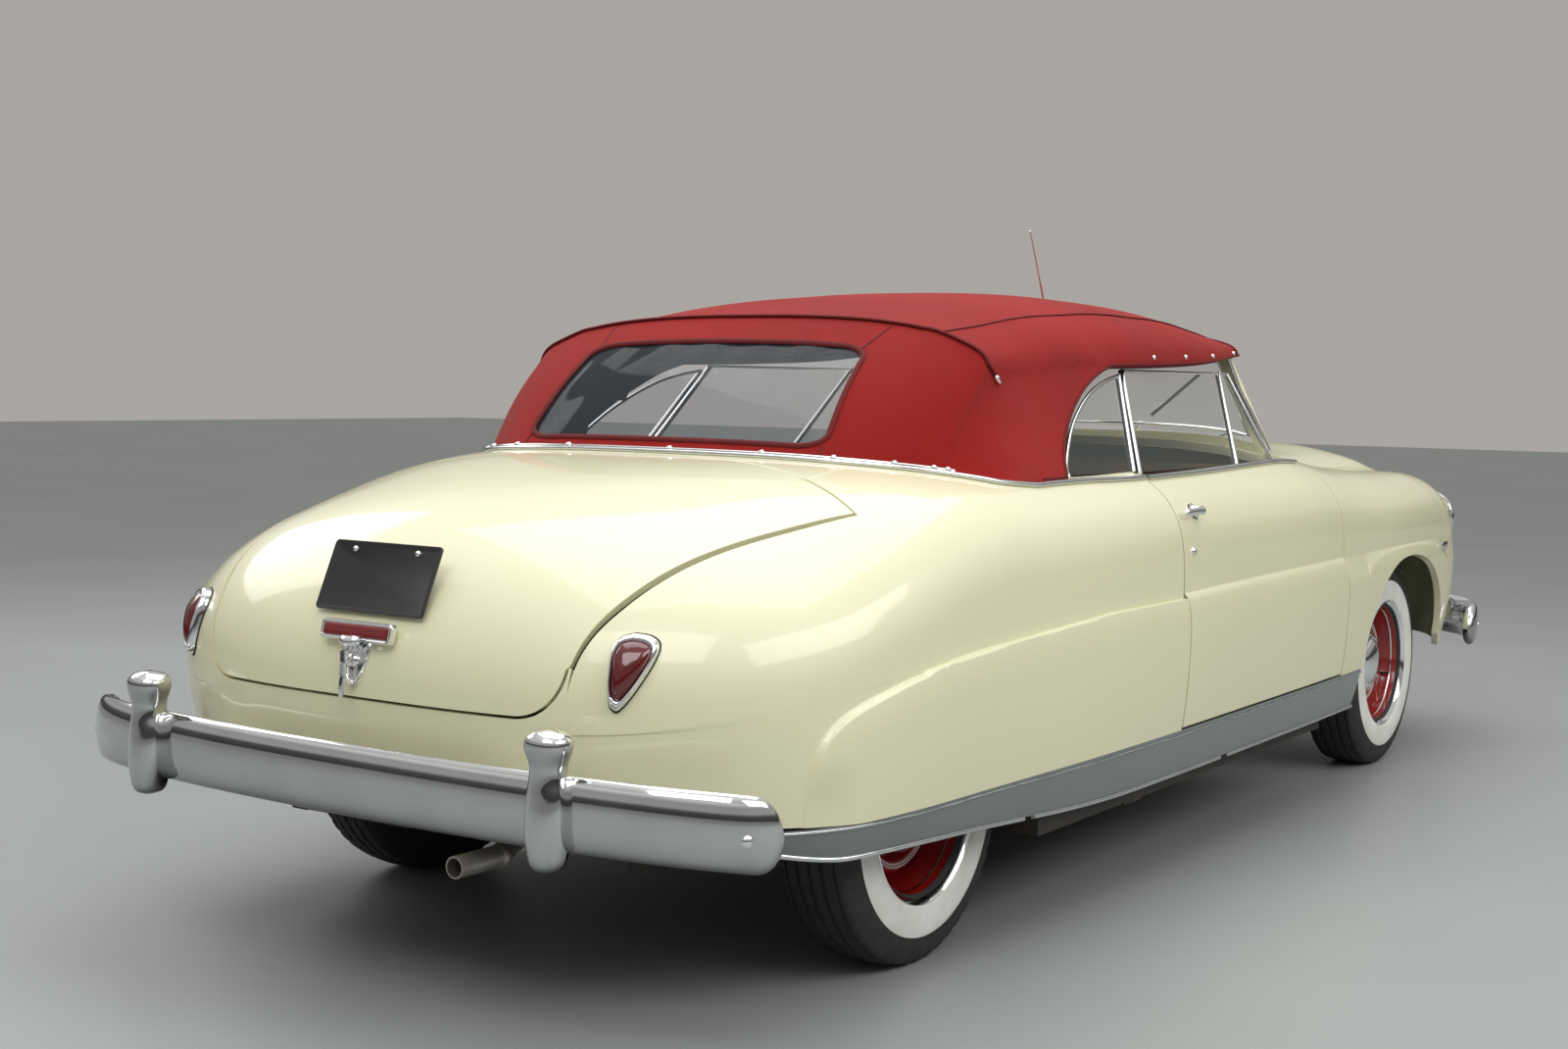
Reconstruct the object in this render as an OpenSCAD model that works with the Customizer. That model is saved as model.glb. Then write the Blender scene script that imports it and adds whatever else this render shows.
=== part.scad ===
// Full-size two-door convertible of about 1950, folding top raised. Millimetres.
// Z up from the ground, X = 0 is the middle plane, the car's nose points to -Y, its left side is +X.

/* [Body] */
// overall length over both bumpers
body_length = 5118; // [4200:1:6200]
// overall width over the proud lower sides
body_width = 1957; // [1600:1:2400]
// overall height with the top raised
body_height = 1534; // [1300:1:1900]
// wheelbase
wheelbase = 3023; // [2500:1:3700]
// rear bumper face to rear axle
rear_overhang = 1043; // [850:1:1350]
// height of the proud side's upper edge above the ground
crease_height = 768; // [650:1:860]
// how far the proud side stands out
crease_step = 17; // [8:1:30]
// thickness of the outer panels with their inner pressings
panel_thickness = 24; // [12:1:40]
// thickness of the whole door
door_thickness = 84; // [50:1:110]
// clearance round doors, hood and deck lid
shut_gap = 6.5; // [5.5:0.1:9]
// door length at the skin
door_length = 1225; // [1000:1:1400]

/* [Wheels] */
// tyre outside diameter
tyre_diameter = 700; // [600:1:800]
// tyre section width
tyre_width = 185; // [150:1:230]
// rim diameter over the flanges
rim_diameter = 410; // [360:1:450]
// hub height above the ground, loaded
hub_height = 347; // [300:1:400]
// track at the front wheels
track_front = 1486; // [1300:1:1600]
// track at the rear wheels
track_rear = 1410; // [1250:1:1500]
// small plain hub cap diameter
cap_diameter = 210; // [150:1:260]
// brake drum diameter
drum_diameter = 270; // [200:1:310]

/* [Cabin] */
// steering wheel diameter
steering_wheel_d = 430; // [360:1:480]
// seat cushion height above the floor
seat_height = 330; // [250:1:420]
// floor height above the ground
floor_height = 236; // [200:1:300]
// canvas shell thickness
canvas_thickness = 10; // [6:1:20]
// side glass thickness
glass_thickness = 6; // [4:0.5:10]

/* [Fittings] */
// exhaust tailpipe outside diameter
tailpipe_d = 45; // [35:1:60]
// tailpipe bore
tailpipe_bore = 38; // [30:1:56]
// licence plate width
plate_width = 305; // [250:1:400]
// licence plate height
plate_height = 152; // [100:1:200]
// spacing of the plate's two bolts
plate_bolt_spacing = 178; // [120:1:220]
// plate bolt hole diameter
plate_bolt_d = 7; // [5:0.5:10]
// gap left between pieces that are fastened together
seat_gap = 0.3; // [0.1:0.05:1]
// node to draw

/* [Hidden] */
sx = body_width / 1957;
sy = body_length / 5118;
sz = body_height / 1534;
rear_y = body_length / 2;
mid = 42 * sy;
rear_axle_y = rear_y - mid - rear_overhang;
front_axle_y = rear_axle_y - wheelbase;
door_y0 = -746 * sy;
door_y1 = door_y0 + door_length;
tyre_r = tyre_diameter / 2;
rim_r = rim_diameter / 2;
kingpin_x = track_front / 2 - 78;
tail_y = 2418 * sy;
nose_y = -2440 * sy;
tail_a = 1500 * sy;
nose_a = -1900 * sy;
tail_q = 3;
tail_len = 918;
nose_q = 4;
hinge_x = 979 * sx;
lid_y = 1496 * sy;
hood_y1 = door_y0 - shut_gap;
hood_y0 = -2290 * sy;
hood_half = 560 * sx;
lid_half_top = 546 * sx;
lid_half_low = 500 * sx;
lid_bottom_z = 628 * sz;
sill_z = 404 * sz;
$fn = 48;

// ---- small maths -------------------------------------------------------------------------------
function lim(v, a, b) = max(a, min(b, v));
function ease(a, b, v) = let (t = lim((v - a) / (b - a), 0, 1)) t * t * (3 - 2 * t);
function mix(a, b, t) = a + (b - a) * t;
function pos(v) = max(0, v);
// smooth curve through a short list of [place, value] points
function seg(P, v, i = 0) = (i >= len(P) - 2 || v < P[i + 1][0]) ? i : seg(P, v, i + 1);
function slope(P, i) = i == 0 ? (P[1][1] - P[0][1]) / (P[1][0] - P[0][0])
  : i == len(P) - 1 ? (P[i][1] - P[i - 1][1]) / (P[i][0] - P[i - 1][0])
  : (P[i + 1][1] - P[i - 1][1]) / (P[i + 1][0] - P[i - 1][0]);
function curve(P, v) = let (i = seg(P, v), w = P[i + 1][0] - P[i][0],
  t = lim((v - P[i][0]) / w, 0, 1), t2 = t * t, t3 = t2 * t)
  (2 * t3 - 3 * t2 + 1) * P[i][1] + (t3 - 2 * t2 + t) * w * slope(P, i)
  + (3 * t2 - 2 * t3) * P[i + 1][1] + (t3 - t2) * w * slope(P, i + 1);

// ---- body surface, in the reference size; stretched by sx, sy, sz afterwards --------------------
// plan half width at the widest line, before the ends are rounded off
function wide0(y) = curve([[-2440, 862], [-1950, 905], [-1400, 946], [-746, 969], [0, 977],
  [479, 978.5], [1000, 971], [1474, 950], [1900, 939], [2484, 925]], y);
function cap(y) = y > 1500 ? pow(pos(1 - pow(lim((y - 1500) / tail_len, 0, 1), tail_q)), 1 / tail_q)
  : y < -1900 ? pow(pos(1 - pow(lim((-1900 - y) / 540, 0, 1), nose_q)), 1 / nose_q) : 1;
function step(y) = (crease_step + 6) * (1 - ease(1750, 2150, y)) * (1 - ease(-2000, -2300, y));
function wide(y) = wide0(y) * cap(y);
function wide_up(y) = pos(wide0(y) - step(y)) * cap(y);
function zwide(y) = curve([[-2440, 640], [-1900, 690], [-1000, 700], [1300, 700], [1900, 670],
  [2484, 578]], y);
function crown(y) = curve([[-2440, 1000], [-2236, 1022], [-1557, 1038], [-1100, 1066], [-746, 1104],
  [-500, 1120], [479, 1120], [1324, 1105], [1900, 1100], [2484, 1092]], y);
function crown_cap(y) = y > 1150 ? pow(pos(1 - pow(lim((y - 1150) / 1268, 0, 1), 2.5)), 1 / 2.5)
  : y < -2050 ? pow(pos(1 - pow(lim((-2050 - y) / 390, 0, 1), 3)), 1 / 3) : 1;
function rise(y) = (crown(y) - zwide(y)) * crown_cap(y);
function power(y) = curve([[-2440, 3.4], [-1900, 4], [1300, 4], [1900, 3.3], [2484, 2.6]], y)
  - 0.8 * ease(1250, 1900, y) * (1 - ease(1900, 2484, y));
function bonnet(x, y) = (1 - ease(-1000, -746, y)) * ease(-2420, -2150, y)
  * (46 * (1 - ease(200, 600, abs(x))) - 26 * exp(-pow((abs(x) - 600) / 80, 2)));
// height of the upper surface over a plan point, sunk by t
function top_z(x, y, t = 0) = let (w = wide_up(y) - t, r = abs(x) / max(1, w))
  zwide(y) + (rise(y) - t * crown_cap(y)) * pow(pos(1 - pow(min(1, r), power(y))), 1 / power(y))
  + bonnet(x, y);
// half width of the upper surface at a height
function top_x(y, z, t = 0) = (wide_up(y) - t)
  * pow(pos(1 - pow(lim((z - zwide(y)) / max(1, rise(y) - t), 0, 1), power(y))), 1 / power(y));
function crease_z(y) = curve([[-2440, 742], [-1494, 760], [-736, 765], [502, 770], [1130, 758],
  [1587, 741], [1965, 692], [2100, 660], [2484, 640]], y) + crease_height - 768;
function low_tuck(y) = 18 + 62 * ease(1900, 2450, y) + 40 * ease(-1950, -2400, y);
// half width of the proud lower side at a height
function low_x(y, z, t = 0) = wide(y) - t - (z > 666 ? (8 * pow((z - 666) / 62, 2)) * (step(y) / 23)
  : low_tuck(y) * pow((666 - z) / 259, 2));
function belt_x(y) = curve([[-746, 778], [-500, 799], [0, 826], [479, 836], [850, 828],
  [1080, 780], [1250, 670], [1330, 552]], y);
// the deck lid's outline: its side edges, and its bowed front edge
function edge_x(y) = curve([[1500, 790], [1695, 732], [1928, 663], [2119, 610], [2243, 567], [2330, 524],
  [2418, 488]], y);
function lid_front(x) = 1470 + 225 * pow(abs(x) / 732, 1.4);
function inner_x(y) = y < 1330 ? max(552, belt_x(y) - 34) : y < 1621.6 - shut_gap ? 552
  : y < 1695 - shut_gap ? 732 * pow((y + shut_gap - 1470) / 225, 1 / 1.4) : edge_x(y);

function arch_c() = (front_axle_y / sy + 88);
function arch_z(y) = let (u = abs(y - arch_c()) / 495)
  u >= 1 ? 0 : 400 + 328 * pow(1 - pow(u, 2.2), 1 / 2.2);
function low_edge(y) = y < arch_c() ? mix(372, 366, ease(-2400, -1960, y))
  : y < 1900 ? 404 : mix(404, 432, ease(1900, 2400, y));

// one section of a side, from the inner edge over the shoulder down to the lower edge
function side_section(y, x0, zlow, n, t) =
  let (w = wide_up(y) - t, p = power(y), h = max(2, rise(y) - t * crown_cap(y)), zc = crease_z(y),
    a0 = acos(pow(lim((x0) / max(1, w), 0, 1), p / 2)),
    zs = max(zc + 12, zlow + 8), zr = lim((zs - zwide(y)) / h, 0, 0.98),
    a1 = min(a0 - 0.5, asin(pow(zr, p / 2))))
  concat(
    [for (i = [0 : n]) let (a = mix(a0, a1, i / n), x = w * pow(pos(cos(a)), 2 / p),
       z = zwide(y) + h * pow(pos(sin(a)), 2 / p) + bonnet(x, y)) [x, y, z]],
    [for (k = [0 : 4]) let (z0 = min(zc - 9, mix(zs, zlow, 0.2)),
       z = mix(max(z0, zlow + 4), zlow, k / 4)) [low_x(y, z, t), y, z]]);

function fit(P) = [for (p = P) [p[0] * sx, p[1] * sy, p[2] * sz]];

function sum(V) = V * [for (v = V) 1];
// closed solid from points and triangles, faces turned outwards
module closed(P, F) {
  v = sum([for (f = F) P[f[0]] * cross(P[f[1]], P[f[2]])]);
  polyhedron(points = P, faces = v > 0 ? [for (f = F) [f[2], f[1], f[0]]] : F);
}

// closed wall between an outer and an inner grid of the same size
module wall(O, I) {
  m = len(O); n = len(O[0]);
  function id(s, i, j) = s * m * n + i * n + j;
  quads = concat(
    [for (i = [0 : m - 2], j = [0 : n - 2]) [id(0, i, j), id(0, i, j + 1), id(0, i + 1, j + 1), id(0, i + 1, j)]],
    [for (i = [0 : m - 2], j = [0 : n - 2]) [id(1, i, j), id(1, i + 1, j), id(1, i + 1, j + 1), id(1, i, j + 1)]],
    [for (i = [0 : m - 2]) [id(0, i, 0), id(0, i + 1, 0), id(1, i + 1, 0), id(1, i, 0)]],
    [for (i = [0 : m - 2]) [id(0, i, n - 1), id(1, i, n - 1), id(1, i + 1, n - 1), id(0, i + 1, n - 1)]],
    [for (j = [0 : n - 2]) [id(0, 0, j), id(1, 0, j), id(1, 0, j + 1), id(0, 0, j + 1)]],
    [for (j = [0 : n - 2]) [id(0, m - 1, j), id(0, m - 1, j + 1), id(1, m - 1, j + 1), id(1, m - 1, j)]]);
  closed(concat([for (r = O) for (p = r) p], [for (r = I) for (p = r) p]),
    [for (q = quads) for (k = [0 : 1]) k == 0 ? [q[0], q[1], q[2]] : [q[0], q[2], q[3]]]);
}

// ---- panels -----------------------------------------------------------------------------------
function cosine(a, b, n) = [for (i = [0 : n]) mix(a, b, (1 - cos(180 * i / n)) / 2)];
function tail_y_at(a) = 1500 + tail_len * pow(sin(a), 2 / tail_q);
function quarter_rows() = concat([for (i = [0 : 7]) mix((door_y1 + shut_gap) / sy, 1326, i / 7)],
  [1420, 1520, 1621.6 - shut_gap, 1660, 1695 - shut_gap, 1780, 1880, 1980, 2070],
  [for (a = [35, 41, 47, 53, 58.5, 62.5, 65]) tail_y_at(a)]);
function quarter_in(y) = let (x = inner_x(y)) min(x, wide_up(y) - 7);

module quarter_panels() color([0.93, 0.91, 0.82]) for (s = [0, 1]) mirror([s, 0, 0]) difference() {
  wall([for (y = quarter_rows()) fit(side_section(y, quarter_in(y), low_edge(y), 8, 0))],
    [for (y = quarter_rows()) fit(side_section(y, quarter_in(y), low_edge(y), 8, panel_thickness))]);
  translate(tail_lamp_c) rotate([90, 0, 0]) cylinder(d = 50 + 2 * seat_gap, h = 300, center = true);
  translate([300 * sx, 2330 * sy, lid_bottom_z - 4]) cube([199.7 * sx, 200, 300]);
  translate([300 * sx, tail_end - 10, 300 * sz]) cube([400 * sx, 200, lid_bottom_z - 4 - 300 * sz]);
}

function deck_front(x) = 1362 - 32 * pow(abs(x) / 552, 2);
module deck_panel() color([0.93, 0.91, 0.82]) {
  xs = [for (i = [0 : 10]) mix(-551.7, 551.7, i / 10)];
  wall([for (x = xs) fit([for (k = [0 : 3]) let (y = mix(deck_front(x), lid_front(x) - shut_gap / sy, k / 3)) [x, y, top_z(x, y)]])],
    [for (x = xs) fit([for (k = [0 : 3]) let (y = mix(deck_front(x), lid_front(x) - shut_gap / sy, k / 3)) [x, y, top_z(x, y) - 22]])]);
}

function out_y(x) = let (w = 930) 1500 + tail_len * pow(pos(1 - pow(min(1, abs(x) / w), tail_q)), 1 / tail_q);
tail_end = tail_y_at(65) * sy;
// rear surface below the lid: where the lower side has come in to x
function low_y(x, z, a = 1600, b = 2418, n = 20) = n == 0 ? (a + b) / 2
  : let (m = (a + b) / 2) low_x(m, z) > abs(x) ? low_y(x, z, m, b, n - 1) : low_y(x, z, a, m, n - 1);
function tail_pt(u, z, d) = let (x = u * (low_x(tail_end / sy, z) - 0.3))
  [x, mix(out_y(x) - 6 - 0.0009 * pow(640 - z, 2), low_y(x, z), ease(250, 470, abs(x))) - d, z];
module tail_panel() color([0.93, 0.91, 0.82]) {
  us = [for (i = [0 : 16]) mix(-1, 1, i / 16)];
  zs = [621, 560, 500, 440];
  wall([for (u = us) fit([for (z = zs) tail_pt(u, z, 0)])],
    [for (u = us) fit([for (z = zs) tail_pt(u, z, 10.2)])]);
}

// rear end of a lid column: where the surface comes down to the lid's lower edge
function drop_y(x, z, a = 1500, b = 2418, n = 22) = n == 0 ? (a + b) / 2
  : let (m = (a + b) / 2) top_z(x, m) > z && abs(x) < wide_up(m) - 1
    ? drop_y(x, z, m, b, n - 1) : drop_y(x, z, a, m, n - 1);
module trunk_lid() {
  us = [for (i = [0 : 14]) mix(-1, 1, i / 14)];
  yb = drop_y(504, lid_bottom_z / sz);
  function col(u, d) = [for (k = [0 : 12]) let (a = 90 * k / 12, f = pow(sin(a), 0.95),
    x = u * (edge_x(mix(1695, yb, f)) - shut_gap / sx - 2), y = mix(lid_front(u * 722), drop_y(x, lid_bottom_z / sz), f),
    z = max(top_z(x, y), lid_bottom_z / sz))
    [x, y - d * 0.9 * pow(k / 12, 2), z - d * (k == 12 ? 0 : cos(a * 0.9))]];
  color([0.93, 0.91, 0.82]) wall([for (u = us) fit(col(u, 0))], [for (u = us) fit(col(u, 22))]);
}

function fender_rows() = let (c = arch_c(), h = (door_y0 - shut_gap) / sy)
  concat([h, mix(h, c + 495, 0.5)], [for (a = [0 : 15 : 180]) c + 494.5 * cos(a)],
    [-2060, -2160, -2240, -2310, -2360, -2392, -2407]);
function fender_low(y) = max(low_edge(y), arch_z(y));
module fender() {
  x0 = (hood_half + shut_gap) / sx;
  function row(y, t) = fit(side_section(y, min(x0, wide_up(y) - 12), fender_low(y), 8, t));
  color([0.93, 0.91, 0.82]) difference() {
    wall([for (y = fender_rows()) row(y, 0)], [for (y = fender_rows()) row(y, panel_thickness)]);
    translate(lamp_c) rotate([90, 0, 0]) cylinder(d = 190 + 2 * seat_gap, h = 300, center = true);
  }
}
lamp_c = [690 * sx, nose_y + 62, 800 * sz];
module front_fender_left() fender();
module front_fender_right() mirror([1, 0, 0]) fender();

module hood() color([0.93, 0.91, 0.82]) {
  xs = [for (i = [0 : 14]) mix(-hood_half, hood_half, i / 14) / sx];
  ys = [for (k = [0 : 10]) mix(hood_y0, hood_y1, k / 10) / sy];
  wall([for (x = xs) fit([for (y = ys) [x, y, top_z(x, y)]])],
    [for (x = xs) fit([for (y = ys) [x, y, top_z(x, y) - 22]])]);
}

module cowl() {
  xs = [for (i = [0 : 12]) mix(-742, 742, i / 12)];
  ft = (floor_height + 26 + seat_gap) / sz;
  color([0.93, 0.91, 0.82]) difference() {
    union() {
      wall([for (x = xs) fit([for (k = [0 : 3]) let (y = mix(-746, -560, k / 3)) [x, y, top_z(x, y)]])],
        [for (x = xs) fit([for (k = [0 : 3]) let (y = mix(-746, -560, k / 3)) [x, y, top_z(x, y) - 26]])]);
      wall([for (x = xs) fit([for (z = [ft, top_z(x, -735) - 12]) [x * 0.99, -745, z]])],
        [for (x = xs) fit([for (z = [ft, top_z(x, -735) - 12]) [x * 0.99, -719, z]])]);
    }
    translate([-140 - seat_gap, door_y0 - 5, floor_height]) cube([280 + 2 * seat_gap, 60, 215 + seat_gap]);
  }
}

function nose_at(x) = -1900 - 540 * pow(pos(1 - pow(abs(x) / 862, nose_q)), 1 / nose_q) + 2;
module nose() {
  hx = (hood_half + shut_gap - seat_gap) / sx;
  xs = [for (i = [0 : 12]) mix(-hx, hx, i / 12)];
  function col(x, d) = [for (k = [0 : 6]) let (y = mix(-2297, nose_at(x), sin(90 * k / 6)), z = max(648, top_z(x, y)))
    [x, y + d * k / 6, z - d * (1 - k / 6) * 0.9]];
  color([0.93, 0.91, 0.82]) {
    wall([for (x = xs) fit(col(x, 0))], [for (x = xs) fit(col(x, 22))]);
    wall([for (x = xs) fit([for (z = [424, 385, 350]) [x * 0.89, nose_at(x) + 6 + (424 - z) * 0.3, z]])],
      [for (x = xs) fit([for (z = [424, 385, 350]) [x * 0.89, nose_at(x) + 22 + (424 - z) * 0.3, z]])]);
  }
}

module grille() color([0.8, 0.8, 0.8]) union() {
  xs = [for (i = [0 : 12]) mix(-524, 524, i / 12)];
  for (z = [452, 500, 548, 596]) wall([for (x = xs) fit([[x, nose_at(x) + 8, z], [x, nose_at(x) + 8, z + 18]])],
    [for (x = xs) fit([[x, nose_at(x) + 24, z], [x, nose_at(x) + 24, z + 18]])]);
  for (x = [-490, 0, 490]) translate([x * sx - 7, (nose_at(x) + 7) * sy, 424 * sz + seat_gap])
    cube([14, 14, 224 * sz - 2 * seat_gap]);
}

// ---- doors and side glass -----------------------------------------------------------------------
door_a = door_y0 / sy;
door_b = (door_y1) / sy;
function door_section(y, t) = let (w = wide_up(y), p = power(y), h = rise(y), x0 = belt_x(y),
    a0 = acos(pow(x0 / w, p / 2)), zc = crease_z(y),
    a1 = asin(pow((zc + 12 - zwide(y)) / h, p / 2)))
  concat([for (i = [0 : 6]) let (a = mix(a0, a1, i / 6)) [w * pow(cos(a), 2 / p), y, zwide(y) + h * pow(sin(a), 2 / p)]],
    [for (z = [zc - 9, 666, 569, 480, sill_z / sz + 6]) [low_x(y, z), y, z]]);
function door_inner(y, P, f) = [for (i = [0 : len(P) - 1]) let (x = min(P[i][0] - 30, wide_up(y) - door_thickness,
    P[0][0] - mix(22, 44, ease(-620, -380, y)) + 40 * i / len(P)), d = P[i][0] - x) [x, y - f * d * 0.24, P[i][2]]];
module door() color([0.93, 0.91, 0.82]) {
  ys = [for (i = [0 : 9]) mix(door_a, door_b, i / 9)];
  wall([for (y = ys) fit(door_section(y))],
    [for (i = [0 : 9]) let (y = ys[i]) fit(door_inner(y, door_section(y), i == 9 ? 1 : i == 8 ? 0.4 : 0))]);
}
module door_left() door();
module door_right() mirror([1, 0, 0]) door();

function glass_x(y, z) = 818 - 0.045 * pos(470 - y) - 0.03 * pos(y - 470) - (z - 1041) * 0.462;
module pane(P, t) {
  n = len(P);
  closed(concat(fit([for (p = P) [glass_x(p[0], p[1]), p[0], p[1]]]),
      fit([for (p = P) [glass_x(p[0], p[1]) - t, p[0], p[1]]])),
    concat([for (i = [1 : n - 2]) [0, i, i + 1]], [for (i = [1 : n - 2]) [n, n + i + 1, n + i]],
      [for (i = [0 : n - 1]) [i, n + i, n + (i + 1) % n]], [for (i = [0 : n - 1]) [i, n + (i + 1) % n, (i + 1) % n]]));
}
module door_glass() color([0.6, 0.66, 0.66, 0.4]) {
  pane([[-280, 1055], [452, 1055], [302, 1314], [-436, 1314]], glass_thickness);
  pane([[-590, 1058], [-300, 1058], [-452, 1314], [-512, 1314]], glass_thickness);
}
module door_glass_left() door_glass();
module door_glass_right() mirror([1, 0, 0]) door_glass();
module quarter_glass() color([0.6, 0.66, 0.66, 0.4]) for (s = [0, 1]) mirror([s, 0, 0])
  pane([[488, 1057], [836, 1057], [832, 1076], [738, 1160], [636, 1220], [530, 1264], [430, 1288], [340, 1302]],
    glass_thickness);

module rocker_trim() {
  ys = [for (i = [0 : 12]) mix(-952, 2210, i / 12)];
  function low(y) = 284 + 48 * ease(700, 1900, y) + 62 * ease(1900, 2300, y);
  function sec(y, t) = [for (k = [0 : 3]) let (z = mix(min(404, sill_z / sz) - seat_gap / sz, low(y), k / 3))
    [min(low_x(y, z), low_x(y, 404)) - t - 10 * pow(k / 3, 2), y, z]];
  wall([for (y = ys) fit(sec(y, 0))], [for (y = ys) fit(sec(y, 26))]);
}
module rocker_trims() color([0.42, 0.44, 0.44]) for (s = [0, 1]) mirror([s, 0, 0]) rocker_trim();

// ---- windshield -----------------------------------------------------------------------------------
function roof_at(x, y) = rail_z(y) + (roof_z(y) - rail_z(y))
  * pow(pos(1 - pow(min(1, abs(x) / rail_x(y)), 2.6)), 1 / 2.6);
function ws_y(u, v) = mix(-650, -552, v) - 62 * (1 - abs(u)) * mix(1, 0.8, v);
function ws_pt(u, v) = let (x = u * mix(730, 622, v), y = ws_y(u, v))
  fit([[x, y, mix(top_z(x, y) + 14, roof_at(x, y) - 28, v)]])[0];
module strip(v, up, h, d) {
  us = [for (i = [-7 : 7]) i / 7];
  function q(u, dy, dz) = ws_pt(u, v) + [0, dy, dz];
  wall([for (u = us) [q(u, -d / 2, up), q(u, -d / 2, up - h)]], [for (u = us) [q(u, d / 2, up), q(u, d / 2, up - h)]]);
}
module beam(a, b, w, d) {
  e = (b - a) / norm(b - a);
  f = cross(e, [0, 0.35, 1]); g = norm(f) < 0.2 ? [1, 0, 0] : f / norm(f);
  h = cross(e, g);
  P = [for (q = [a, b], s = [[-1, -1], [1, -1], [1, 1], [-1, 1]]) q + g * s[0] * d / 2 + h * s[1] * w / 2];
  closed(P, [[0, 1, 2], [0, 2, 3], [4, 6, 5], [4, 7, 6], [0, 4, 5], [0, 5, 1],
    [1, 5, 6], [1, 6, 2], [2, 6, 7], [2, 7, 3], [3, 7, 4], [3, 4, 0]]);
}
module windshield_frame() color([0.93, 0.91, 0.82]) union() {
  strip(0, 13.4, 25.5, 26);
  strip(1, 12, 31, 30);
  for (s = [-1, 1]) beam(ws_pt(s * 0.985, 0), ws_pt(s * 0.985, 1), 30, 26);
  beam(ws_pt(0, 0), ws_pt(0, 1), 22, 24);
}
module windshield_glass() color([0.6, 0.66, 0.66, 0.4]) for (s = [-1, 1]) {
  a = [ws_pt(0.023 * s, 0.12), ws_pt(0.957 * s, 0.12), ws_pt(0.957 * s, 0.88), ws_pt(0.023 * s, 0.88)];
  n = cross(a[1] - a[0], a[3] - a[0]); e = n / norm(n) * 3;
  // the four corners are pressed onto one plane
  q = [for (p = a) p - n * ((p - a[0]) * n) / (n * n)];
  P = concat([for (p = q) p - e], [for (p = q) p + e]);
  F = [[0, 1, 2], [0, 2, 3], [4, 6, 5], [4, 7, 6], [0, 4, 5], [0, 5, 1],
    [1, 5, 6], [1, 6, 2], [2, 6, 7], [2, 7, 3], [3, 7, 4], [3, 4, 0]];
  closed(P, F);
}

// ---- folding top ----------------------------------------------------------------------------------
function roof_z(y) = curve([[-600, 1442], [-400, 1488], [-150, 1522], [100, 1534], [400, 1526],
  [700, 1496], [1060, 1437]], y);
function rail_x(y) = curve([[-600, 650], [-300, 682], [100, 700], [600, 702], [1060, 698]], y);
function rail_z(y) = curve([[-600, 1374], [-300, 1346], [100, 1330], [600, 1318], [1060, 1286]], y);
function hem_low(y) = top_z(778, y) + 5;
function hem_z(y) = y < 400 ? rail_z(y)
  : mix(hem_low(y), rail_z(y), pow(pos(1 - pow(lim((y - 400) / 460, 0, 1), 1.5)), 1 / 1.5));
// point of a roof section, t = 0 at the middle, 1 at the hem
function roof_pt(y, t) = let (u = abs(t), zr = rail_z(y), k = (zr - hem_z(y)) / 250, e = u * (1 + 0.62 * k))
  e <= 1 ? let (a = 90 * e) [sign(t) * rail_x(y) * pow(sin(a), 2 / 2.6), y, zr + (roof_z(y) - zr) * pow(pos(cos(a)), 2 / 2.6)]
  : let (z = mix(zr, zr - 250, (e - 1) / 0.62)) [sign(t) * (rail_x(y) + (zr - z) * 0.36), y, z];
function base_pt(t) = let (x = roof_pt(1060, t)[0] * 0.985, y = 1352 - 252 * pow(abs(x) / 790, 2.6))
  [x, y, top_z(x, min(y, 1500)) + 6];
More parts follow.
